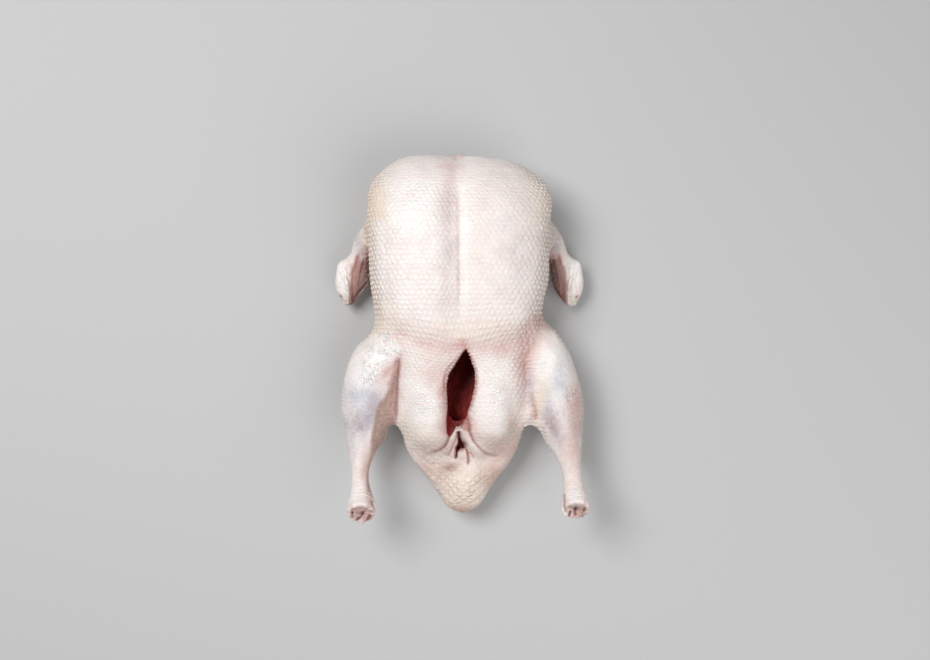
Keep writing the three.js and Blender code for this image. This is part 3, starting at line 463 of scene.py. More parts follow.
# Patches with a crisp edge, by what they change: the corners seen from above (mm), half
# width of the edge, and how much
ZONES = {
    "red": [
        # between the folds below the slit
        ([(-0.6, -86.9), (0.3, -91.5), (3, -96), (5.2, -101.5), (2.5, -102), (0.1, -102.8),
          (-1.4, -105.1), (-2.6, -110.6), (-4.1, -110.6), (-3.2, -104.2), (-3.2, -100.1),
          (-1.7, -97), (-1.9, -92.4)], 0.7, 1),
        # the flesh at the slit's back end
        ([(-11.4, -66), (-4.1, -68.7), (-1.4, -75.6), (-4.5, -85.1), (-9.1, -92.4), (-12, -87.9),
          (-12.3, -76)], 0.7, 1),
        ([(-0.4, -73.3), (8.2, -72.4), (10, -85.1), (5.9, -86.5), (0, -79.7)], 1.4, 0.35),
    ],
    # Painted shade in the vent, beside the left leg, on the keel's left side, on the wing stubs'
    # inner faces and on the left leg's inner side
    "shade_and_dark_specks": [
        # the vent
        ([(1, -95.6), (3.6, -97.4), (5, -101.5), (1.8, -101.7), (-1.7, -103.8), (-2.6, -101.5),
          (-1, -98.8)], 0.9, 1),
        # beside the left leg
        ([(-54.6, -23.2), (-57.3, -32.3), (-58.2, -50.5), (-59.1, -66.9), (-57.4, -76.9),
          (-56, -68.7), (-56, -50.5), (-54.9, -34.2)], 1, 0.5),
        # the keel's left side
        ([(-2.6, 91.4), (-1.4, 91.4), (-0.5, 33.2), (-2.1, 33.2)], 1, 0.14),
        # the wing stubs' inner faces
        (RIGHT_WING_FACE, 2, 0.52),
        ([(-83.3, 67.8), (-91.5, 67.8), (-96, 53.2), (-97.5, 43.2), (-98.4, 27.7), (-96.9, 29.5),
          (-89.6, 40.5), (-82.3, 53.2)], 2, 0.42),
        # the left leg's inner side
        ([(-54.6, -21.4), (-57.8, -26.9), (-61, -33.2), (-62.8, -42.4), (-65.5, -50.5),
          (-68.2, -56), (-73.7, -60.6), (-76.4, -66.9), (-77.8, -77.8), (-79.6, -86.9),
          (-80.5, -105.1), (-72.3, -105.1), (-65.1, -94.2), (-58.7, -81.5), (-58.2, -66.9),
          (-58.7, -53.3), (-57.3, -37.8)], 2.4, 0.26),
    ],
    "crackle": [
        # the left thigh
        ([(-77.8, 2.2), (-61.4, 5.9), (-54.1, -7.8), (-56, -14.1), (-65.1, -23.2), (-76, -37.8),
          (-86.9, -46.9), (-92.4, -39.6), (-88.7, -23.2), (-84.2, -10.5)], 2.5, 1),
    ],
    # Painted light: the highlights on the left thigh, and the lit right thigh, right side of the
    # keel and left side of the breast
    "painted_light": [
        # the left thigh
        ([(-77.8, 2.2), (-61.4, 4.1), (-54.1, -9.6), (-56.9, -15.1), (-66.9, -23.2),
          (-77.8, -39.6), (-88.7, -43.3), (-92.4, -32.3), (-88.7, -19.6), (-84.2, -10.5)], 2.5,
          0.75),
        # the right thigh
        ([(74.2, 7.7), (84.2, 2.2), (96.9, -17.8), (96.9, -28.7), (84.2, -25.1), (76, -14.1)],
          3.5, 0.7),
        # the keel's right side
        ([(-0.3, 142.4), (5.9, 133.3), (7.7, 83.2), (7.7, 16.8), (0.5, 16.8), (-0.1, 87.8)], 1,
          0.5),
        # the breast's left side
        ([(-66, 142.4), (-19.6, 142.4), (-17.7, 47.7), (-25, 16.8), (-52.3, 16.8), (-64.1, 47.7),
          (-66.9, 96.9)], 5, 0.6),
    ],
    "smooth": [
        # the left thigh
        ([(-80.5, 0.4), (-68.7, 1.3), (-57.8, -4.1), (-53.2, -12.3), (-57.8, -23.2),
          (-72.3, -43.3), (-99.6, -57.8), (-104.2, -39.6), (-94.2, -12.3)], 1.5, 0.95),
        # the right thigh
        ([(77.8, 16.8), (84.2, 7.7), (95.1, -7.8), (102.4, -32.3), (87.8, -43.3), (78.7, -26.9),
          (73.3, -12.3), (72.4, 4.1)], 2.5, 0.93),
    ],
    "lilac_and_shade": [
        # the keel's left side, painted shade
        ([(-11.4, 153.3), (-2.3, 153.3), (-1.5, 78.7), (-1.2, 16.8), (-5, 16.8), (-9.5, 78.7)], 1,
          0.16),
        # the right calf
        (RIGHT_CALF_STREAK, 4, 0.6),
    ],
    # Tan skin, and painted shade on the left leg's inner side, between the right leg and the belly,
    # on the wing stubs' inner faces and in the cut leg ends
    "tan": [
        # the left leg's inner side
        ([(-54.6, -19.6), (-57.8, -26), (-61, -33.2), (-62.8, -42.4), (-65.5, -50.5),
          (-68.2, -56), (-73.7, -60.6), (-76.4, -66.9), (-77.8, -77.8), (-79.6, -86.9),
          (-81, -95.1), (-80.5, -105.1), (-83.7, -121.5), (-84.2, -141.5), (-72.3, -141.5),
          (-72.3, -121.5), (-68.7, -107.9), (-65.1, -95.1), (-57.3, -81.5), (-57.3, -66.9),
          (-57.8, -53.3), (-56.4, -37.8), (-53.7, -26.9)], 1.8, 0.95),
        # between the right leg and the belly
        ([(65.5, -56), (68.3, -62.4), (71, -72.4), (67.8, -76.9), (63.2, -76), (66, -66.9)], 1.2,
          0.5),
        # the wing stubs' inner faces
        ([(-83.3, 67.8), (-91.5, 71.4), (-96, 55), (-97.5, 43.2), (-98.4, 27.7), (-96.9, 29.5),
          (-89.6, 40.5), (-82.3, 53.2)], 1, 0.7),
        (RIGHT_WING_FACE, 1, 0.85),
        # the right calf
        (RIGHT_CALF_STREAK, 4, 0.12),
        # the cut leg ends
        ([(-99.6, -157), (-92.4, -155.2), (-81.4, -157), (-76, -159.7), (-77.8, -167),
          (-85.1, -170.7), (-94.2, -170.7), (-99.6, -165.2)], 1.4, 0.4),
        ([(96.9, -155.2), (104.2, -153.4), (115.1, -154.3), (116.9, -159.7), (113.3, -166.1),
          (104.2, -167.9), (97.8, -164.3)], 1.4, 0.4),
    ],
    "wet": [
        # the left thigh
        ([(-81.4, -3.2), (-56.9, -1.4), (-55.1, -12.3), (-65.1, -26), (-79.6, -44.2),
          (-89.6, -37.8), (-90.5, -19.6)], 3, 0.7),
        # the breast's left side
        ([(-66.9, 144.2), (-16.8, 144.2), (-15, 42.3), (-19.6, 9.5), (-52.3, 9.5), (-64.1, 42.3),
          (-67.8, 96.9)], 3, 0.12),
    ],
    "yellow": [
        # the left flank
        ([(-86.9, 135.1), (-68.7, 138.7), (-66.9, 110.5), (-69.6, 69.6), (-66.9, 33.2),
          (-81.4, 22.3), (-88.7, 69.6)], 2, 0.4),
    ],
    "pink": [
        # the slit's back end
        ([(2.3, -70.6), (10.5, -76.9), (10.5, -87.9), (4.1, -85.1), (-0.4, -76.9)], 1.5, 0.6),
        # the slit's left lip
        ([(-9.5, -19.6), (-17.7, -31.4), (-20.5, -48.7), (-17.7, -68.7), (-12.3, -68.7),
          (-13.2, -39.6), (-6.8, -26.9)], 2, 0.3),
    ],
}


class DuckShape(bpy.types.PropertyGroup):
    """Sizes of the skin's mesh and relief."""

    skin_grid: FloatProperty(
        name="Skin grid", description="Edge length of the skin's coarse mesh",
        default=2.6 * MM, unit="LENGTH")
    follicle_height: FloatProperty(
        name="Follicle height", description="How far the plucked follicles stand up",
        default=1.25 * MM, unit="LENGTH")
    row_spacing: FloatProperty(
        name="Row spacing", description="Distance between two rows of follicles",
        default=4.35 * MM, unit="LENGTH")
    tail_diamond: FloatProperty(
        name="Tail diamond", description="Width of the diamonds in the tail's skin",
        default=8.4 * MM, unit="LENGTH")
    sway: FloatProperty(
        name="Sway", description="How far the rows of follicles wander",
        default=1.2 * MM, unit="LENGTH")
    undulation: FloatProperty(
        name="Undulation", description="Height of the flesh's soft unevenness",
        default=0.9 * MM, unit="LENGTH")


class DuckColours(bpy.types.PropertyGroup):
    """Colours of the skin and the flesh, painted light and shade among them."""

    skin: FloatVectorProperty(
        name="Skin", description="Pale skin over fat", subtype="COLOR",
        default=(0.865, 0.795, 0.762))
    # Painted light: skin lightened where light falls and in highlights
    painted_light: FloatVectorProperty(
        name="Pale", description="Skin drawn tight over white fat", subtype="COLOR",
        default=(0.960, 0.935, 0.920))
    furrow: FloatVectorProperty(
        name="Furrow", description="Skin between the follicles", subtype="COLOR",
        default=(0.570, 0.440, 0.390))
    yellow: FloatVectorProperty(
        name="Fat", description="Skin over yellow fat", subtype="COLOR",
        default=(0.790, 0.660, 0.520))
    pink: FloatVectorProperty(
        name="Pink", description="Skin in folds and over thin flesh", subtype="COLOR",
        default=(0.570, 0.310, 0.280))
    # Tan skin, and painted shade on sides turned from the light
    tan: FloatVectorProperty(
        name="Tan", description="Skin on the shaded, meaty side of a limb", subtype="COLOR",
        default=(0.460, 0.310, 0.265))
    # Lilac skin, and painted shade in the valley beside the keel
    lilac_and_shade: FloatVectorProperty(
        name="Lilac", description="Skin with dark muscle under it", subtype="COLOR",
        default=(0.465, 0.415, 0.450))
    grey: FloatVectorProperty(
        name="Grey", description="Thin skin drawn tight over bluish muscle", subtype="COLOR",
        default=(0.475, 0.490, 0.545))
    # Painted shade in deep creases, pits and holes, and the colour of small dark specks
    pit: FloatVectorProperty(
        name="Pit", description="Deep creases and holes", subtype="COLOR",
        default=(0.045, 0.011, 0.009))
    flesh: FloatVectorProperty(
        name="Flesh", description="Lit flesh in the cavity", subtype="COLOR",
        default=(0.620, 0.070, 0.055))
    # Dark flesh in the cavity, and painted shade where the flesh's painted light is low
    blood: FloatVectorProperty(
        name="Blood", description="Dark flesh in the cavity", subtype="COLOR",
        default=(0.190, 0.012, 0.012))


class DuckStage(bpy.types.PropertyGroup):
    """Floor, light and camera."""

    floor: FloatVectorProperty(
        name="Floor", description="Colour of the floor", subtype="COLOR",
        default=(0.5, 0.5, 0.5))
    lens: FloatProperty(
        name="Lens", description="Focal length of the camera in mm", default=48.9)
    key: FloatProperty(
        name="Key light", description="Power of the soft light from the upper left",
        default=25.8, unit="POWER")
    fill: FloatProperty(
        name="Fill light", description="Power of the light from the right",
        default=9.6, unit="POWER")
    sky: FloatProperty(
        name="Sky", description="Strength of the even light all round", default=0.245)


# Measuring the surface

def smooth_step(low, high, value):
    share = np.clip((value - low) / (high - low), 0, 1)
    return share * share * (3 - 2 * share)


def within(values, middle, reach):
    return np.abs(values - middle) < reach


def read_vectors(items, name):
    values = np.empty(len(items) * 3, np.float32)
    items.foreach_get(name, values)
    return values.reshape(-1, 3).astype(float)


def read_points(mesh):
    return read_vectors(mesh.vertices, "co") / MM


def read_normals(mesh):
    return read_vectors(mesh.vertex_normals, "vector")


def face_middles(mesh):
    return read_vectors(mesh.polygons, "center") / MM, read_vectors(mesh.polygons, "normal")


def write_points(mesh, points):
    mesh.vertices.foreach_set("co", (points * MM).astype(np.float32).ravel())
    mesh.update()


def plan_of(points):
    """Where each point is seen from above, on the plan that the marks are drawn on."""
    grow = (EYE[2] - PLAN_HEIGHT) / (EYE[2] - points[:, 2:3])
    eye = np.array(EYE[:2])
    return eye + (points[:, :2] - eye) * grow


def soft_noise(points, size, seed):
    """Smooth noise, about -1 to 1, with three values for each point."""
    noise.seed_set(seed)
    away = Vector((seed * 17.3, seed * 5.1, seed * 9.7))
    values = [noise.noise_vector(Vector(p) / size + away) for p in points]
    return np.array(values)


def curve_through(points, steps=6):
    """A smooth line through a few points."""
    given = np.array(points, float)
    padded = np.vstack([2 * given[0] - given[1], given, 2 * given[-1] - given[-2]])
    out = []
    for a, b, c, d in zip(padded, padded[1:], padded[2:], padded[3:]):
        for t in np.linspace(0, 1, steps, endpoint=False):
            out.append(0.5 * (2 * b + (c - a) * t + (2 * a - 5 * b + 4 * c - d) * t ** 2
                              + (3 * b - a - 3 * c + d) * t ** 3))
    out.append(given[-1])
    return np.array(out)


def distance_to_line(line, plan):
    """Distance from each plan point to a line, and how far along the line it lies."""
    best = np.full(len(plan), np.inf)
    along = np.zeros(len(plan))
    for i, (a, b) in enumerate(zip(line, line[1:])):
        run = b - a
        t = np.clip(((plan - a) @ run) / (run @ run), 0, 1)
        gap = np.linalg.norm(plan - (a + t[:, None] * run), axis=1)
        nearer = gap < best
        best[nearer] = gap[nearer]
        along[nearer] = (i + t[nearer]) / (len(line) - 1)
    return best, along


def slit_outline():
    left, right = (curve_through(edge, 4) for edge in SLIT_EDGES)
    return np.vstack([left[:-1], right[:-1]])


def depth_in_outline(outline, plan):
    """Distance to a closed outline, above zero inside it."""
    line = np.vstack([outline, outline[:1]])
    gap, _ = distance_to_line(line, plan)
    inside = np.zeros(len(plan), bool)
    x, y = plan[:, 0], plan[:, 1]
    for (ax, ay), (bx, by) in zip(line, line[1:]):
        crosses = (ay > y) != (by > y)
        with np.errstate(divide="ignore", invalid="ignore"):
            edge = ax + (y - ay) * (bx - ax) / (by - ay)
        inside ^= crosses & (x < edge)
    return np.where(inside, gap, -gap)


def fade_at_ends(along, share):
    """1 along a line, fading to 0 over a share of its length at both ends."""
    return smooth_step(0, share, along) * smooth_step(1, 1 - share, along)


def step_height(plan):
    """Height of the steps in the skin."""
    height = np.zeros(len(plan))
    for points, width, high, reach in STEPS:
        line = curve_through(points)
        gap, along = distance_to_line(line, plan)
        spot = np.clip((along * (len(line) - 1)).astype(int), 0, len(line) - 2)
        run = line[spot + 1] - line[spot]
        away = plan - line[spot]
        left = np.sign(run[:, 0] * away[:, 1] - run[:, 1] * away[:, 0]) * gap
        side = smooth_step(-width, width, left)
        height += high * fade_at_ends(along, 0.2) * side * np.exp(-(gap / reach) ** 2)
    return height


def mark_skin(drawn, near, gap, size, high, pinkness, redness, fade=1, sharpness=2):
    """Adds one line or dot to the drawn height, pink, red and painted crease shade."""
    height, pink, red, shade_and_dark_specks = drawn
    share = np.exp(-(gap / size) ** sharpness) * fade
    height[near] += high * share
    pink[near] = np.maximum(pink[near], pinkness * np.exp(-(gap / (size * 1.5)) ** 2) * fade)
    red[near] = np.maximum(red[near], redness * np.exp(-(gap / size) ** 2) * fade)
    # Painted shade, darker the deeper the crease
    crease_shade = np.clip((-high - SHADE_DEPTH) / SHADE_RANGE, 0, 1)
    shade_and_dark_specks[near] = np.maximum(shade_and_dark_specks[near], crease_shade * share)


def drawn_relief(plan):
    """Height, pink, red and painted crease shade of all drawn lines and dots."""
    drawn = np.zeros((4, len(plan)))
    mirrored = [([(2 * WING_MIRROR_X - x, y) for x, y in points], *rest)
                for points, *rest in WING_LINES]
    for points, width, high, pinkness, redness in LINES + WING_LINES + mirrored:
        line = curve_through(points)
        low = line.min(axis=0) - 3.5 * width
        top = line.max(axis=0) + 3.5 * width
        near = np.flatnonzero(np.all((plan > low) & (plan < top), axis=1))
        gap, along = distance_to_line(line, plan[near])
        sharpness = 1.5 if high < 0 else 2
        mark_skin(drawn, near, gap, width, high, pinkness, redness,
                  fade_at_ends(along, 0.16), sharpness)
    for x, y, radius, high, pinkness, redness in DOTS:
        gap = np.hypot(plan[:, 0] - x, plan[:, 1] - y)
        mark_skin(drawn, slice(None), gap, radius, high, pinkness, redness)
    return drawn


def patch_share(plan, x, y, across, along, turn=0):
    """1 in the middle of a patch, fading smoothly outwards."""
    angle = math.radians(turn)
    dx, dy = plan[:, 0] - x, plan[:, 1] - y
    u = (dx * math.cos(angle) + dy * math.sin(angle)) / across
    v = (dy * math.cos(angle) - dx * math.sin(angle)) / along
    return np.exp(-(u * u + v * v))


def add_up(kind, plan):
    """All patches of one kind, joined so that they never pass 1."""
    left = np.ones(len(plan))
    for x, y, across, along, amount, *turn in PATCHES.get(kind, []):
        left *= 1 - amount * patch_share(plan, x, y, across, along, *turn)
    for corners, edge, amount in ZONES.get(kind, []):
        depth = depth_in_outline(np.array(corners), plan)
        left *= 1 - amount * smooth_step(-edge, edge, depth)
    return 1 - left


def follicle_places(points, shape):
    """Two numbers for each point that are both whole in the middle of each follicle."""
    x, y, z = points.T
    turn = np.arctan2(x + 0.2, z - np.interp(y, *AXIS_HEIGHT))
    across = np.interp(y, *FOLLICLES_ROUND) * (
        ROUND_SPREAD * turn - np.sin(2 * turn) / ROUND_EVENNESS)
    start, depth, quarter = NECK_END
    cap = np.clip((y - start) / depth, 0, 1)
    rows = np.interp(y + ROW_SAG * patch_share(points, *ROW_SAG_PLACE), *ROWS_ALONG)
    along = (rows + quarter * np.arcsin(cap)) * MM / (2 * shape.row_spacing)
    wander = shape.sway / MM * (
        soft_noise(points, *ROW_WANDER) + 0.5 * soft_noise(points, *ROW_TREMBLE))
    across += wander[:, 0] / WANDER_PER_PLACE[0]
    along += wander[:, 1] / WANDER_PER_PLACE[1]
    return np.stack([across + along, across - along], axis=1)


def diamond_places(points, shape):
    """The same for the diamonds in the tail's skin."""
    wander = (2.2 * soft_noise(points, *DIAMOND_WANDER)
              + 0.8 * soft_noise(points, *DIAMOND_TREMBLE))
    width = shape.tail_diamond / MM
    across = (points[:, 0] + wander[:, 0]) / width
    along = (points[:, 1] + wander[:, 1]) / (width * DIAMOND_LENGTH_SHARE)
    return np.stack([across + along, across - along], axis=1)


def follicle_relief(places):
    """Round bumps at the whole numbers, packed as in a honeycomb, about -0.35 to 0.65."""
    first, second = places.T
    waves = sum(np.cos(2 * np.pi * turn) for turn in (first, second, first - second))
    return (waves + 1.5) / 4.5 - 0.35


def in_cavity(points, slack):
    away = (points - np.array(CAVITY_MIDDLE)) / (np.array(CAVITY_REACH) + slack)
    return np.sum(away ** 2, axis=1) < 1


# Steps that change a mesh

def only(obj):
    bpy.ops.object.select_all(action="DESELECT")
    obj.select_set(True)
    bpy.context.view_layer.objects.active = obj


def apply_modifier(obj, kind, **values):
    only(obj)
    modifier = obj.modifiers.new(kind.title(), kind)
    for key, value in values.items():
        setattr(modifier, key, value)
    bpy.ops.object.modifier_apply(modifier=modifier.name)


def copy_node(name, node):
    obj = bpy.data.objects.new(name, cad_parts[node].data.copy())
    bpy.context.scene.collection.objects.link(obj)
    obj.data.materials.clear()
    only(obj)
    bpy.ops.object.mode_set(mode="EDIT")
    bpy.ops.mesh.select_all(action="SELECT")
    bpy.ops.mesh.remove_doubles(threshold=0.01 * MM)
    bpy.ops.object.mode_set(mode="OBJECT")
    return obj


def subdivide_where(obj, wanted):
    """Cuts each face that has the wanted mark into four."""
    only(obj)
    bpy.ops.object.mode_set(mode="EDIT")
    bpy.ops.mesh.select_mode(type="FACE")
    bpy.ops.mesh.select_all(action="DESELECT")
    bpy.ops.object.mode_set(mode="OBJECT")
    obj.data.polygons.foreach_set("select", wanted)
    bpy.ops.object.mode_set(mode="EDIT")
    bpy.ops.mesh.subdivide(number_cuts=1)
    bpy.ops.object.mode_set(mode="OBJECT")


# The skin's and the flesh's look, with noise and cells sized by how many fit in a metre

class Nodes:
    """Adds and links nodes in one node tree."""

    def __init__(self, tree):
        self.tree = tree

    def add(self, kind, inputs=None, **settings):
        node = self.tree.nodes.new(kind)
        for key, value in settings.items():
            setattr(node, key, value)
        for key, value in (inputs or {}).items():
            self.put(node.inputs[key], value)
        return node

    def put(self, socket, value):
        if isinstance(value, bpy.types.NodeSocket):
            self.tree.links.new(value, socket)
        elif isinstance(value, tuple) and len(value) == 3 and socket.type == "RGBA":
            socket.default_value = (*value, 1)
        else:
            socket.default_value = value

    def math(self, operation, *values, clamp=False):
        node = self.add("ShaderNodeMath", operation=operation, use_clamp=clamp)
        for socket, value in zip(node.inputs, values):
            self.put(socket, value)
        return node.outputs[0]

    def times(self, first, second, clamp=False):
        return self.math("MULTIPLY", first, second, clamp=clamp)

    def scaled(self, value, factor, plus, clamp=False):
        return self.math("MULTIPLY_ADD", value, factor, plus, clamp=clamp)

    def rest_of(self, value):
        return self.math("SUBTRACT", 1.0, value)

    def vector(self, operation, *values):
        inputs = dict(enumerate(values))
        return self.add("ShaderNodeVectorMath", inputs, operation=operation).outputs[0]

    def mix(self, share, first, second):
        node = self.add("ShaderNodeMix", data_type="RGBA")
        self.put(node.inputs[0], share)
        self.put(node.inputs[6], first)
        self.put(node.inputs[7], second)
        return node.outputs[2]

    def place(self):
        return self.add("ShaderNodeTexCoord").outputs["Object"]

    def stretched(self, vector, scale, turn=0):
        return self.add("ShaderNodeMapping", {
            "Vector": vector, "Rotation": (0, 0, math.radians(turn)), "Scale": scale}).outputs[0]

    def noise(self, vector, scale, detail, roughness=0.5, output=0):
        node = self.add("ShaderNodeTexNoise", {
            "Vector": vector, "Scale": scale, "Detail": detail, "Roughness": roughness})
        return node.outputs[output]

    def cells(self, vector, scale, feature, randomness=1.0):
        node = self.add("ShaderNodeTexVoronoi", {
            "Vector": vector, "Scale": scale, "Randomness": randomness}, feature=feature)
        return node.outputs["Distance"]

    def ramp(self, value, low, high):
        node = self.add("ShaderNodeMapRange", {
            "Value": value, "From Min": low, "From Max": high})
        node.interpolation_type = "SMOOTHSTEP"
        return node.outputs[0]

    def shares(self, *attributes):
        """What the skin's colour attributes hold, by name."""
        found = {}
        for name in attributes:
            attribute = self.add("ShaderNodeAttribute", attribute_name=name).outputs
            parts = self.add("ShaderNodeSeparateColor", {0: attribute["Color"]}).outputs
            found.update(zip(CHANNELS[name], (*parts, attribute["Alpha"])))
        return found

    def group(self, name):
        return self.add("ShaderNodeGroup", node_tree=bpy.data.node_groups[name])


def new_group(name, inputs, outputs):
    """A node group with the given inputs by their kinds and outputs that are numbers."""
    tree = bpy.data.node_groups.new(name, "ShaderNodeTree")
    for socket, kind in inputs.items():
        tree.interface.new_socket(socket, in_out="INPUT", socket_type=kind)
    for socket in outputs:
        tree.interface.new_socket(socket, in_out="OUTPUT", socket_type="NodeSocketFloat")
    nodes = Nodes(tree)
    given = nodes.add("NodeGroupInput").outputs
    made = nodes.add("NodeGroupOutput").inputs
    return nodes, given, made


def strayed(nodes, places, scale, detail):
    """The two numbers of the places, moved a little and unevenly."""
    stray = nodes.noise(nodes.place(), scale, detail, output="Color")
    stray = nodes.vector("MULTIPLY_ADD", stray, (STRAY, STRAY, 0), (-STRAY / 2, -STRAY / 2, 0))
    moved = nodes.vector("ADD", places, stray)
    return nodes.add("ShaderNodeSeparateXYZ", {0: moved}).outputs[:2]


def follicle_group():
    """Height of a honeycomb of round bumps from a UV map that holds its places."""
    nodes, given, made = new_group(
        "Follicle lattice", {"Places": "NodeSocketVector"}, ("Height", "Rows"))
    place = nodes.place()
    first, second = strayed(nodes, given["Places"], 170, 1)
    waves = [nodes.math("COSINE", nodes.times(turn, 2 * math.pi))
             for turn in (first, second, nodes.math("SUBTRACT", first, second))]
    total = nodes.math("ADD", nodes.math("ADD", waves[0], waves[1]), waves[2])
    share = nodes.scaled(total, 1 / 4.5, 1.5 / 4.5, clamp=True)
    size = nodes.scaled(nodes.noise(place, 150, 1), 0.8, 0.6)
    nodes.put(made["Height"], nodes.times(nodes.math("POWER", share, 0.75), size))
    row = nodes.scaled(waves[2], 0.36, nodes.times(share, 0.4))
    broken = nodes.ramp(nodes.noise(place, 190, 2), 0.3, 0.65)
    nodes.put(made["Rows"], nodes.times(nodes.math("ADD", row, 0.36), broken))


def net_group():
    """Height of flat scales with thin grooves between them, from a UV map of places."""
    nodes, given, made = new_group("Skin net", {"Places": "NodeSocketVector"}, ("Height",))
    edges = [nodes.math("PINGPONG", part, 0.5) for part in strayed(nodes, given["Places"], 90, 2)]
    scales = nodes.ramp(nodes.math("MAXIMUM", *edges), 0.5, 0.17)
    faint = nodes.times(nodes.ramp(nodes.noise(nodes.place(), 110, 2), 0.62, 0.35), 0.5)
    nodes.put(made["Height"], nodes.math("MAXIMUM", scales, faint))


def fine_skin_group():
    """Pebbled grain, crepe wrinkles and blotches, from the place on the bird."""
    nodes, given, made = new_group(
        "Fine skin", {"Wrinkles": "NodeSocketFloat"},
        ("Height", "Creases", "Blotches", "Speckle", "Specks", "Crackle"))
    place = nodes.place()
    wrinkles = given["Wrinkles"]
    warp = nodes.noise(place, 90, 2, output="Color")
    warp = nodes.vector("MULTIPLY_ADD", warp, (0.006, 0.006, 0.006), place)
    grain = nodes.noise(place, 520, 3, 0.6)
    pebbles = nodes.cells(nodes.stretched(warp, (0.75, 1.15, 1)), 380, "SMOOTH_F1", 0.85)
    crepe = nodes.cells(nodes.stretched(warp, (0.42, 1.05, 0.8)), 500, "DISTANCE_TO_EDGE")
    crepe = nodes.ramp(crepe, 0.0, 0.3)
    pebble = nodes.times(nodes.ramp(pebbles, 0.75, 0.1), nodes.scaled(wrinkles, -0.35, 0.5))
    base = nodes.scaled(grain, 0.5, pebble)
    nodes.put(made["Height"], nodes.scaled(nodes.times(crepe, wrinkles), 0.5, base))
    nodes.put(made["Creases"], nodes.times(nodes.rest_of(crepe), wrinkles))
    nodes.put(made["Blotches"], nodes.noise(place, 55, 4, 0.6))
    nodes.put(made["Speckle"], nodes.noise(place, 420, 3, 0.7))
    shells = nodes.cells(nodes.vector("MULTIPLY", warp, (3.2, 3.2, 3.2)), 110, "DISTANCE_TO_EDGE")
    nodes.put(made["Crackle"], nodes.times(
        nodes.ramp(shells, 0.11, 0.0), nodes.ramp(nodes.noise(place, 190, 2), 0.4, 0.62)))
    spots = nodes.ramp(nodes.cells(warp, 270, "F1"), 0.42, 0.15)
    nodes.put(made["Specks"], nodes.times(
        spots, nodes.ramp(nodes.noise(place, 130, 2), 0.45, 0.6)))


def cavity_group():
    """Strands and clots of the flesh in the cavity, and its painted light, from the place on the
    bird.
    """
    nodes, _, made = new_group("Cavity flesh", {}, ("Strands", "Lit"))
    place = nodes.place()
    strands = nodes.noise(nodes.stretched(place, (1, 0.25, 1), turn=-24), 260, 3, 0.6)
    clots = nodes.noise(place, 70, 3, 0.55)
    _, along, up = nodes.add("ShaderNodeSeparateXYZ", {0: place}).outputs
    # Painted light: the flesh is lighter towards the slit's back end and higher up, and darker
    # again at the very back tip
    back = nodes.ramp(along, -25 * MM, -78 * MM)
    tip = nodes.ramp(along, -70 * MM, -78 * MM)
    high = nodes.ramp(up, 34 * MM, 62 * MM)
    lit = nodes.times(nodes.ramp(strands, 0.45, 0.62), nodes.ramp(clots, 0.25, 0.6))
    lit = nodes.scaled(lit, 0.75, nodes.times(back, 0.48))
    lit = nodes.times(lit, nodes.scaled(back, 0.6, 0.4))
    lit = nodes.scaled(high, 0.3, lit, clamp=True)
    nodes.put(made["Strands"], strands)
    nodes.put(made["Lit"], nodes.times(lit, nodes.scaled(tip, -0.7, 1.0)))


def new_material(name):
    material = bpy.data.materials.new(name)
    material.use_nodes = True
    return material, Nodes(material.node_tree), material.node_tree.nodes["Principled BSDF"]


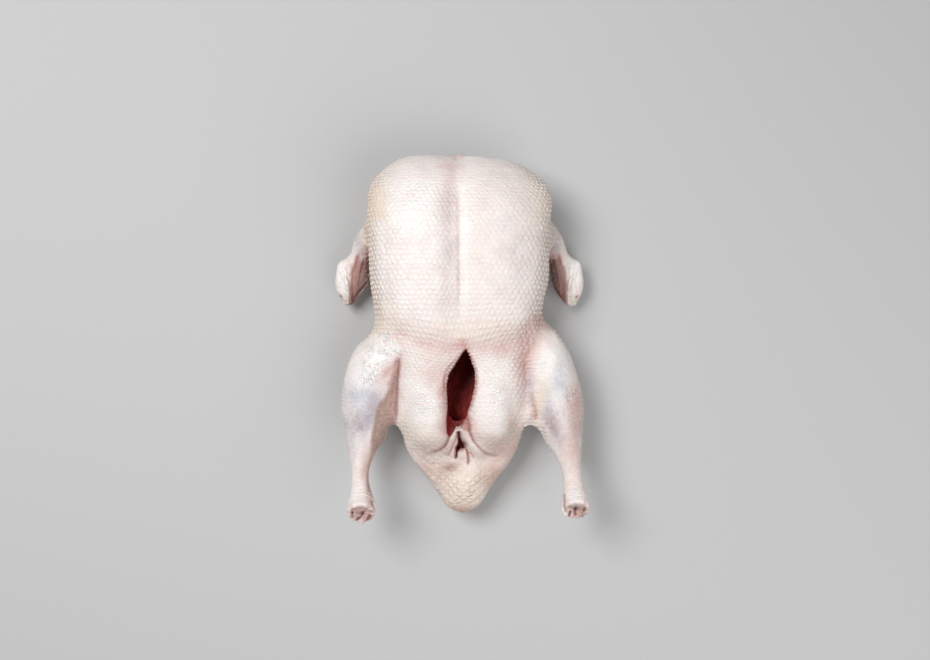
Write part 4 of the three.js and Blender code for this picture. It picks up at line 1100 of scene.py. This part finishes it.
def skin_material(colours):
    material, nodes, skin = new_material("Plucked skin")
    share = nodes.shares(*CHANNELS)
    fine = nodes.group("Fine skin")
    nodes.put(fine.inputs["Wrinkles"], share["wrinkle"])
    flesh = nodes.group("Cavity flesh").outputs
    lattices = []
    for uv, group_name in (("Follicles", "Follicle lattice"), ("Tail diamonds", "Skin net")):
        lattice = nodes.group(group_name)
        nodes.put(lattice.inputs["Places"], nodes.add("ShaderNodeUVMap", uv_map=uv).outputs[0])
        lattices.append(lattice.outputs)
    follicles, net = lattices

    # Relief of the rows and the tail's net, and the furrows between them
    rows = nodes.times(nodes.ramp(share["follicles"], 0.8, 0.35), 0.2)
    bumps = nodes.add("ShaderNodeMix", {
        0: rows, 2: follicles["Height"], 3: follicles["Rows"]}, data_type="FLOAT")
    body = nodes.times(bumps.outputs[0], share["follicles"])
    tail = nodes.times(net["Height"], share["net"])
    grooves = nodes.math("SUBTRACT", share["net"], tail)
    low = nodes.scaled(grooves, 0.9, nodes.math("SUBTRACT", share["follicles"], body), clamp=True)
    furrow = nodes.scaled(fine.outputs["Creases"], 0.35, low, clamp=True)

    # Colour, one thin layer over another, with painted light and shade among the layers
    blotch = nodes.ramp(fine.outputs["Blotches"], 0.35, 0.7)
    speckle = nodes.ramp(fine.outputs["Speckle"], 0.3, 0.75)
    spread = nodes.scaled(speckle, 0.5, 0.75)
    mottled = nodes.scaled(blotch, 0.7, nodes.scaled(speckle, 0.6, 0.4))
    uneven = nodes.scaled(blotch, 0.5, nodes.scaled(furrow, 0.4, 0.6))
    crackle = nodes.times(fine.outputs["Crackle"], share["crackle"])
    specks = nodes.times(fine.outputs["Specks"], share["specks"])
    # Painted glints: light flecks on the crackled skin
    painted_glints = nodes.times(nodes.ramp(fine.outputs["Speckle"], 0.5, 0.62), share["crackle"])
    # Painted light: the skin is lightened where light falls and in highlights
    colour = nodes.mix(share["painted_light"], colours["skin"], colours["painted_light"])
    for amount, strength, name in (
            (blotch, 0.2, "furrow"), (furrow, 0.78, "furrow"), (share["yellow"], spread, "yellow"),
            (share["grey"], mottled, "grey"), (share["lilac_and_shade"], mottled, "lilac_and_shade"),
            (crackle, 0.09, "grey"), (share["tan"], spread, "tan"), (specks, 0.8, "pink"),
            (share["pink"], uneven, "pink"), (painted_glints, 0.85, "painted_light")):
        colour = nodes.mix(nodes.times(amount, strength, clamp=True), colour, colours[name])
    # Raw flesh, with the cavity's painted light, and painted shade in its pits and at the slit's
    # back end
    lit = nodes.times(flesh["Lit"], nodes.rest_of(share["deep"]))
    colour = nodes.mix(share["raw"], colour, nodes.mix(lit, colours["blood"], colours["flesh"]))
    # Painted shade in deep creases, pits and holes, and small dark specks
    colour = nodes.mix(nodes.times(share["shade_and_dark_specks"], 0.9), colour, colours["pit"])
    nodes.put(skin.inputs["Base Color"], colour)

    # Shine, less in raw flesh and in pits
    dull = nodes.math("MAXIMUM", share["raw"], share["shade_and_dark_specks"])
    wet = nodes.times(share["wet"], nodes.rest_of(dull))
    dry = nodes.scaled(wet, -0.2, 0.5)
    nodes.put(skin.inputs["Specular IOR Level"], nodes.scaled(dull, -0.36, 0.5))
    nodes.put(skin.inputs["Roughness"], nodes.scaled(speckle, 0.1, dry, clamp=True))
    nodes.put(skin.inputs["Coat Weight"], nodes.scaled(wet, 0.6, 0.04))
    skin.inputs["Coat Roughness"].default_value = 0.27
    skin.inputs["Subsurface Weight"].default_value = 0.2
    skin.inputs["Subsurface Radius"].default_value = (1.0, 0.45, 0.3)
    skin.inputs["Subsurface Scale"].default_value = 1.8 * MM

    # Fine relief
    height = nodes.scaled(tail, 0.68, body)
    crumple = nodes.scaled(share["wet"], 0.7, 0.36)
    height = nodes.scaled(fine.outputs["Height"], crumple, height)
    height = nodes.scaled(crackle, -0.28, height)
    height = nodes.scaled(nodes.times(flesh["Strands"], share["raw"]), 1.5, height)
    bump = nodes.add("ShaderNodeBump", {"Height": height, "Distance": 1.6 * MM, "Strength": 1.0})
    nodes.put(skin.inputs["Normal"], bump.outputs[0])
    return material


def flesh_material(colours):
    material, nodes, surface = new_material("Cavity flesh")
    flesh = nodes.group("Cavity flesh").outputs
    # The cavity's painted light and shade, and painted shade in its pits
    shade_and_dark_specks = nodes.shares("Marks")["shade_and_dark_specks"]
    colour = nodes.mix(flesh["Lit"], colours["blood"], colours["flesh"])
    nodes.put(surface.inputs["Base Color"], nodes.mix(shade_and_dark_specks, colour, colours["pit"]))
    nodes.put(surface.inputs["Roughness"], nodes.scaled(flesh["Strands"], 0.3, 0.35))
    surface.inputs["Specular IOR Level"].default_value = 0.2
    bump = nodes.add("ShaderNodeBump", {
        "Height": flesh["Strands"], "Distance": 1.5 * MM, "Strength": 1.0})
    nodes.put(surface.inputs["Normal"], bump.outputs[0])
    return material


class DUCK_OT_bird(bpy.types.Operator):
    """Makes the duck's skin and cavity over its solid"""

    bl_idname = "duck.bird"
    bl_label = "Bird"

    def execute(self, context):
        shape = context.scene.duck_shape
        obj = copy_node("duck_skin", NODE)
        apply_modifier(obj, "REMESH", mode="VOXEL", voxel_size=shape.skin_grid)
        apply_modifier(obj, "SMOOTH", factor=0.5, iterations=7)
        self.refine(obj)
        self.sculpt(obj, shape)
        self.colour(obj)
        self.finish_surface(obj, context.scene.duck_colours)
        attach(obj, "root")
        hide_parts(NODE)
        return {"FINISHED"}

    def refine(self, obj):
        """Finer faces where the skin is bumpy or creased, and finest in its small folds."""
        middles, normals = face_middles(obj.data)
        plan = plan_of(middles)
        seen = (normals[:, 2] > -0.3) & ~in_cavity(middles, 3)
        marked = np.abs(drawn_relief(plan)[0] + step_height(plan)) > FINE_RELIEF
        follicles = self.follicle_amount(middles, plan, normals)
        bumpy = (normals[:, 2] < 0.8) & (follicles > FINE_FOLLICLES)
        legs = (np.abs(middles[:, 0]) > LEGS_FROM[0]) & (middles[:, 1] < LEGS_FROM[1])
        subdivide_where(obj, seen & (marked | bumpy | legs))
        apply_modifier(obj, "SMOOTH", factor=0.5, iterations=3)
        middles, normals = face_middles(obj.data)
        plan = plan_of(middles)
        vent_y, vent_across, vent_along = VENT_PLACE
        small = within(plan[:, 0], 0, vent_across) & within(plan[:, 1], vent_y, vent_along)
        small &= np.abs(drawn_relief(plan)[0]) > FINEST_RELIEF
        for middle, _, radius in LEG_ENDS:
            small |= np.linalg.norm(middles - np.array(middle), axis=1) < radius * 1.25
        wing_x, wing_y, wing_along = WING_PLACE
        small |= ~within(plan[:, 0], WING_MIRROR_X, wing_x) & within(plan[:, 1], wing_y, wing_along)
        small |= within(depth_in_outline(slit_outline(), middles[:, :2]), 0, SLIT_RIM)
        small &= (normals[:, 2] > -0.1) & (middles[:, 2] > 12) & ~in_cavity(middles, 0)
        subdivide_where(obj, small)

    def sculpt(self, obj, shape):
        """The flesh's unevenness, the drawn folds, and then the follicles as real bumps."""
        points = self.close_slit(read_points(obj.data))
        normals = read_normals(obj.data)
        plan = plan_of(points)
        outer = ~in_cavity(points, 2)
        upper = smooth_step(0.05, 0.4, normals[:, 2]) * outer
        drawn = (drawn_relief(plan)[0] + step_height(plan)) * upper
        undulation = shape.undulation / MM
        lift = undulation * 0.8 * soft_noise(points, *FLESH_WAVES)[:, 0] * outer
        lift += undulation * 0.3 * soft_noise(points, *FLESH_RIPPLES)[:, 0] * outer
        lift += self.leg_end_pleats(points) * upper
        for middle, reach, high in BULGES:
            away = np.linalg.norm(points - np.array(middle), axis=1)
            lift += high * np.exp(-(away / reach) ** 2) * outer
        points = points + normals * lift[:, None]
        points[:, 2] += drawn
        write_points(obj.data, points)
        apply_modifier(obj, "SMOOTH", factor=0.3, iterations=1)
        places = follicle_places(points, shape)
        diamonds = diamond_places(points, shape)
        amount = self.follicle_amount(points, plan, normals)
        side = smooth_step(0.8, 0.35, normals[:, 2])
        uneven = 0.8 + 0.5 * soft_noise(points, *FOLLICLE_VARIETY)[:, 1]
        bumps = shape.follicle_height / MM * amount * side * uneven * follicle_relief(places)
        points = read_points(obj.data)
        above_rest = points[:, 2] >= REST_HEIGHT
        points += read_normals(obj.data) * (bumps * above_rest)[:, None]
        points[:, 2] = np.maximum(points[:, 2], 0)
        write_points(obj.data, points)
        self.write_places(obj.data, "Follicles", places)
        self.write_places(obj.data, "Tail diamonds", diamonds)

    def close_slit(self, points):
        """Draws the skin in from both sides at the slit's front, and forward at its back."""
        for across, (middle, reach, pull) in ((True, SLIT_FRONT), (False, SLIT_BACK)):
            away = (points[:, :2] - middle) / reach
            near = pull * np.exp(-np.sum(away ** 4, axis=1)) * (points[:, 2] > SLIT_BOTTOM)
            if across:
                points[:, 0] -= near * np.tanh((points[:, 0] - middle[0]) / 2)
            else:
                points[:, 1] += near
        return points

    def leg_end_pleats(self, points):
        """Skin gathered towards the middle of each cut joint, and rings behind it."""
        lift = np.zeros(len(points))
        for k, (middle, facing, radius) in enumerate(LEG_ENDS):
            facing = np.array(facing) / np.linalg.norm(facing)
            away = points - np.array(middle)
            ahead = away @ facing
            flat = away - ahead[:, None] * facing
            out = np.linalg.norm(flat, axis=1) / radius
            side = np.cross(facing, (0, 0, 1.0))
            side /= np.linalg.norm(side)
            turn = np.arctan2(flat @ np.cross(facing, side), flat @ side)
            near = np.exp(-(np.linalg.norm(away, axis=1) / (radius * 1.15)) ** 4)
            pleats = np.sin(PLEATS * turn + 1.6 * np.sin(2 * turn + k) + k)
            lift += PLEAT_HEIGHT * pleats * smooth_step(0.35, 0.7, out) * near
            rim = np.exp(-((out - 0.86) / 0.14) ** 2)
            well = smooth_step(0.7, 0.35, out)
            front = smooth_step(-0.3, 0.1, ahead / radius)
            lift += (RIM_HEIGHT * rim - WELL_DEPTH * well) * front * near
            behind = smooth_step(-0.1, -0.3, ahead / radius)
            wave = (2 * np.pi * ahead / RING_SPACING
                    + 1.2 * np.sin(turn + k) + 0.8 * np.sin(3 * turn))
            lift += RING_HEIGHT * np.sin(wave) * near * behind
        return lift

    def follicle_amount(self, points, plan, normals):
        """Most on the flanks, little on the breast, none on smooth skin, legs and wings."""
        flank = smooth_step(0.85, 0.35, np.abs(normals[:, 2]))
        amount = 0.34 + 0.66 * flank
        amount += 0.12 * patch_share(plan, 0, -4, 85, 20)
        amount += 0.4 * patch_share(plan, 56, -32, 8, 30, -10)
        amount *= 1 - add_up("smooth", plan)
        amount *= smooth_step(-112, -88, points[:, 1])
        neck = smooth_step(118, 150, plan[:, 1]) * smooth_step(74, 56, np.abs(plan[:, 0]))
        amount *= 1 - 0.6 * neck
        spine = smooth_step(-0.6, -0.95, normals[:, 2]) * (np.abs(points[:, 0]) < 12)
        amount *= 1 - 0.9 * spine
        amount *= ~in_cavity(points, 2)
        return np.clip(amount, 0, 1)

    def net_amount(self, plan, normals):
        share = patch_share(plan, 0, -139, 42, 20) + 0.5 * patch_share(plan, -28, -108, 22, 12, -20)
        return np.clip(0.78 * share, 0, 1) * smooth_step(-0.2, 0.3, normals[:, 2])

    def write_places(self, mesh, name, places):
        layer = mesh.uv_layers.new(name=name)
        corners = np.empty(len(mesh.loops), np.int32)
        mesh.loops.foreach_get("vertex_index", corners)
        layer.data.foreach_set("uv", places[corners].astype(np.float32).ravel())

    def colour(self, obj):
        """Writes where each colour and finish shows, four numbers to a colour attribute."""
        mesh = obj.data
        points = read_points(mesh)
        normals = read_normals(mesh)
        plan = plan_of(points)
        out = np.abs(points[:, 0])
        flank = within(points[:, 1], *FLANK_ALONG) & (out > FLANK_FROM)
        flank &= (points[:, 2] > FLANK_ABOVE) | (out < FLANK_WITHIN)
        plan[flank, 0] *= FLANK_SHARE
        _, drawn_pink, red, drawn_shade = drawn_relief(plan)
        upper = smooth_step(-0.1, 0.3, normals[:, 2])
        high = points[:, 2] > RED_BOTTOM
        red = np.maximum(red * upper, add_up("red", plan) * high)
        inside = depth_in_outline(slit_outline(), points[:, :2])
        # Walls that drop steeply beside the slit are raw too, except at its front end
        steep = 2.4 * (0.45 - normals[:, 2]) * high * (inside > -4)
        rim = smooth_step(-0.4, 1.4, inside + steep * smooth_step(-20, -38, points[:, 1]))
        rim = np.maximum(rim, in_cavity(points, 1))
        pink = 1 - (1 - add_up("pink", plan)) * (1 - drawn_pink * upper)
        pink = np.maximum(pink, 0.75 * smooth_step(-LIP_WIDTH, -0.3, inside) * upper)
        shares = {
            "pink": pink,
            "lilac_and_shade": add_up("lilac_and_shade", plan),
            "yellow": add_up("yellow", plan),
            "raw": np.maximum(rim, red),
            "follicles": self.follicle_amount(points, plan, normals),
            "net": self.net_amount(plan, normals),
            # Painted shade that darkens the flesh where it is reddest and at the slit's back end
            "deep": np.maximum(smooth_step(0.6, 0.95, red), add_up("deep", plan)),
            # Painted shade in deep drawn creases and dents, with the patches of painted shade and
            # of small dark specks
            "shade_and_dark_specks": np.maximum(drawn_shade, add_up("shade_and_dark_specks", plan)) * upper,
            "whole": np.ones(len(points)),
        }
        for kind in ("wrinkle", "wet", "tan", "specks", "painted_light", "crackle", "grey"):
            shares[kind] = add_up(kind, plan) * upper
        for attribute, names in CHANNELS.items():
            layer = mesh.color_attributes.new(attribute, "FLOAT_COLOR", "POINT")
            values = np.clip(np.stack([shares[name] for name in names], axis=1), 0, 1)
            layer.data.foreach_set("color", values.astype(np.float32).ravel())

    def finish_surface(self, obj, colours):
        shades = {key: tuple(getattr(colours, key)) for key in DuckColours.__annotations__}
        if "Follicle lattice" not in bpy.data.node_groups:
            follicle_group()
            net_group()
            fine_skin_group()
            cavity_group()
        obj.data.materials.append(skin_material(shades))
        obj.data.materials.append(flesh_material(shades))
        middles, _ = face_middles(obj.data)
        flesh = in_cavity(middles, 1) & (middles[:, 2] < FLESH_TOP)
        obj.data.polygons.foreach_set("material_index", flesh.astype(np.int32))
        obj.data.polygons.foreach_set("use_smooth", np.ones(len(obj.data.polygons), bool))
        obj.data.update()


class DUCK_OT_stage(bpy.types.Operator):
    """Makes the floor, the lights and the camera"""

    bl_idname = "duck.stage"
    bl_label = "Stage"

    def execute(self, context):
        stage = context.scene.duck_stage
        bpy.ops.object.select_all(action="DESELECT")
        bpy.ops.mesh.primitive_plane_add(size=FLOOR_WIDTH, location=(0, 0, -0.2 * MM))
        floor = context.active_object
        floor.name = "floor"
        material, _, surface = new_material("Floor")
        surface.inputs["Base Color"].default_value = (*stage.floor, 1)
        surface.inputs["Roughness"].default_value = 0.8
        floor.data.materials.append(material)
        self.area_light("key", *KEY_LIGHT, stage.key)
        self.area_light("fill", *FILL_LIGHT, stage.fill)
        context.scene.view_settings.view_transform = "Standard"
        world = bpy.data.worlds.new("Sky")
        world.use_nodes = True
        sky = world.node_tree.nodes["Background"]
        sky.inputs["Color"].default_value = (1, 1, 1, 1)
        sky.inputs["Strength"].default_value = stage.sky
        context.scene.world = world
        camera = bpy.data.objects.new("camera", bpy.data.cameras.new("camera"))
        context.scene.collection.objects.link(camera)
        camera.location = Vector(EYE) * MM
        camera.data.lens = stage.lens
        camera.data.sensor_width = 36
        camera.data.clip_start = 0.02
        context.scene.camera = camera
        return {"FINISHED"}

    def area_light(self, name, place, width, power):
        """A square light that faces the middle of the bird."""
        bpy.ops.object.light_add(type="AREA", location=place)
        light = bpy.context.active_object
        light.name = name
        light.data.size = width
        light.data.energy = power
        aim = Vector((0, 0, PLAN_HEIGHT * MM)) - Vector(place)
        light.rotation_euler = aim.to_track_quat("-Z", "Y").to_euler()


class DUCK_PT_panel(bpy.types.Panel):
    """Shows the duck's sizes and colours, the stage's settings, and buttons that make the bird and
    the stage
    """

    bl_label = "Raw duck"
    bl_idname = "DUCK_PT_panel"
    bl_space_type = "VIEW_3D"
    bl_region_type = "UI"
    bl_category = "Duck"

    def draw(self, context):
        column = self.layout.column()
        for group in ("duck_shape", "duck_colours", "duck_stage"):
            settings = getattr(context.scene, group)
            for name in settings.__annotations__:
                column.prop(settings, name)
        for operator in ("duck.bird", "duck.stage"):
            column.operator(operator)


CLASSES = (DuckShape, DuckColours, DuckStage, DUCK_OT_bird, DUCK_OT_stage, DUCK_PT_panel)


def register():
    for cls in CLASSES:
        bpy.utils.register_class(cls)
    bpy.types.Scene.duck_shape = PointerProperty(type=DuckShape)
    bpy.types.Scene.duck_colours = PointerProperty(type=DuckColours)
    bpy.types.Scene.duck_stage = PointerProperty(type=DuckStage)


def unregister():
    for name in ("duck_stage", "duck_colours", "duck_shape"):
        delattr(bpy.types.Scene, name)
    for cls in reversed(CLASSES):
        bpy.utils.unregister_class(cls)


def main():
    register()
    bpy.ops.duck.stage()
    bpy.ops.duck.bird()


if __name__ == "__main__":
    main()
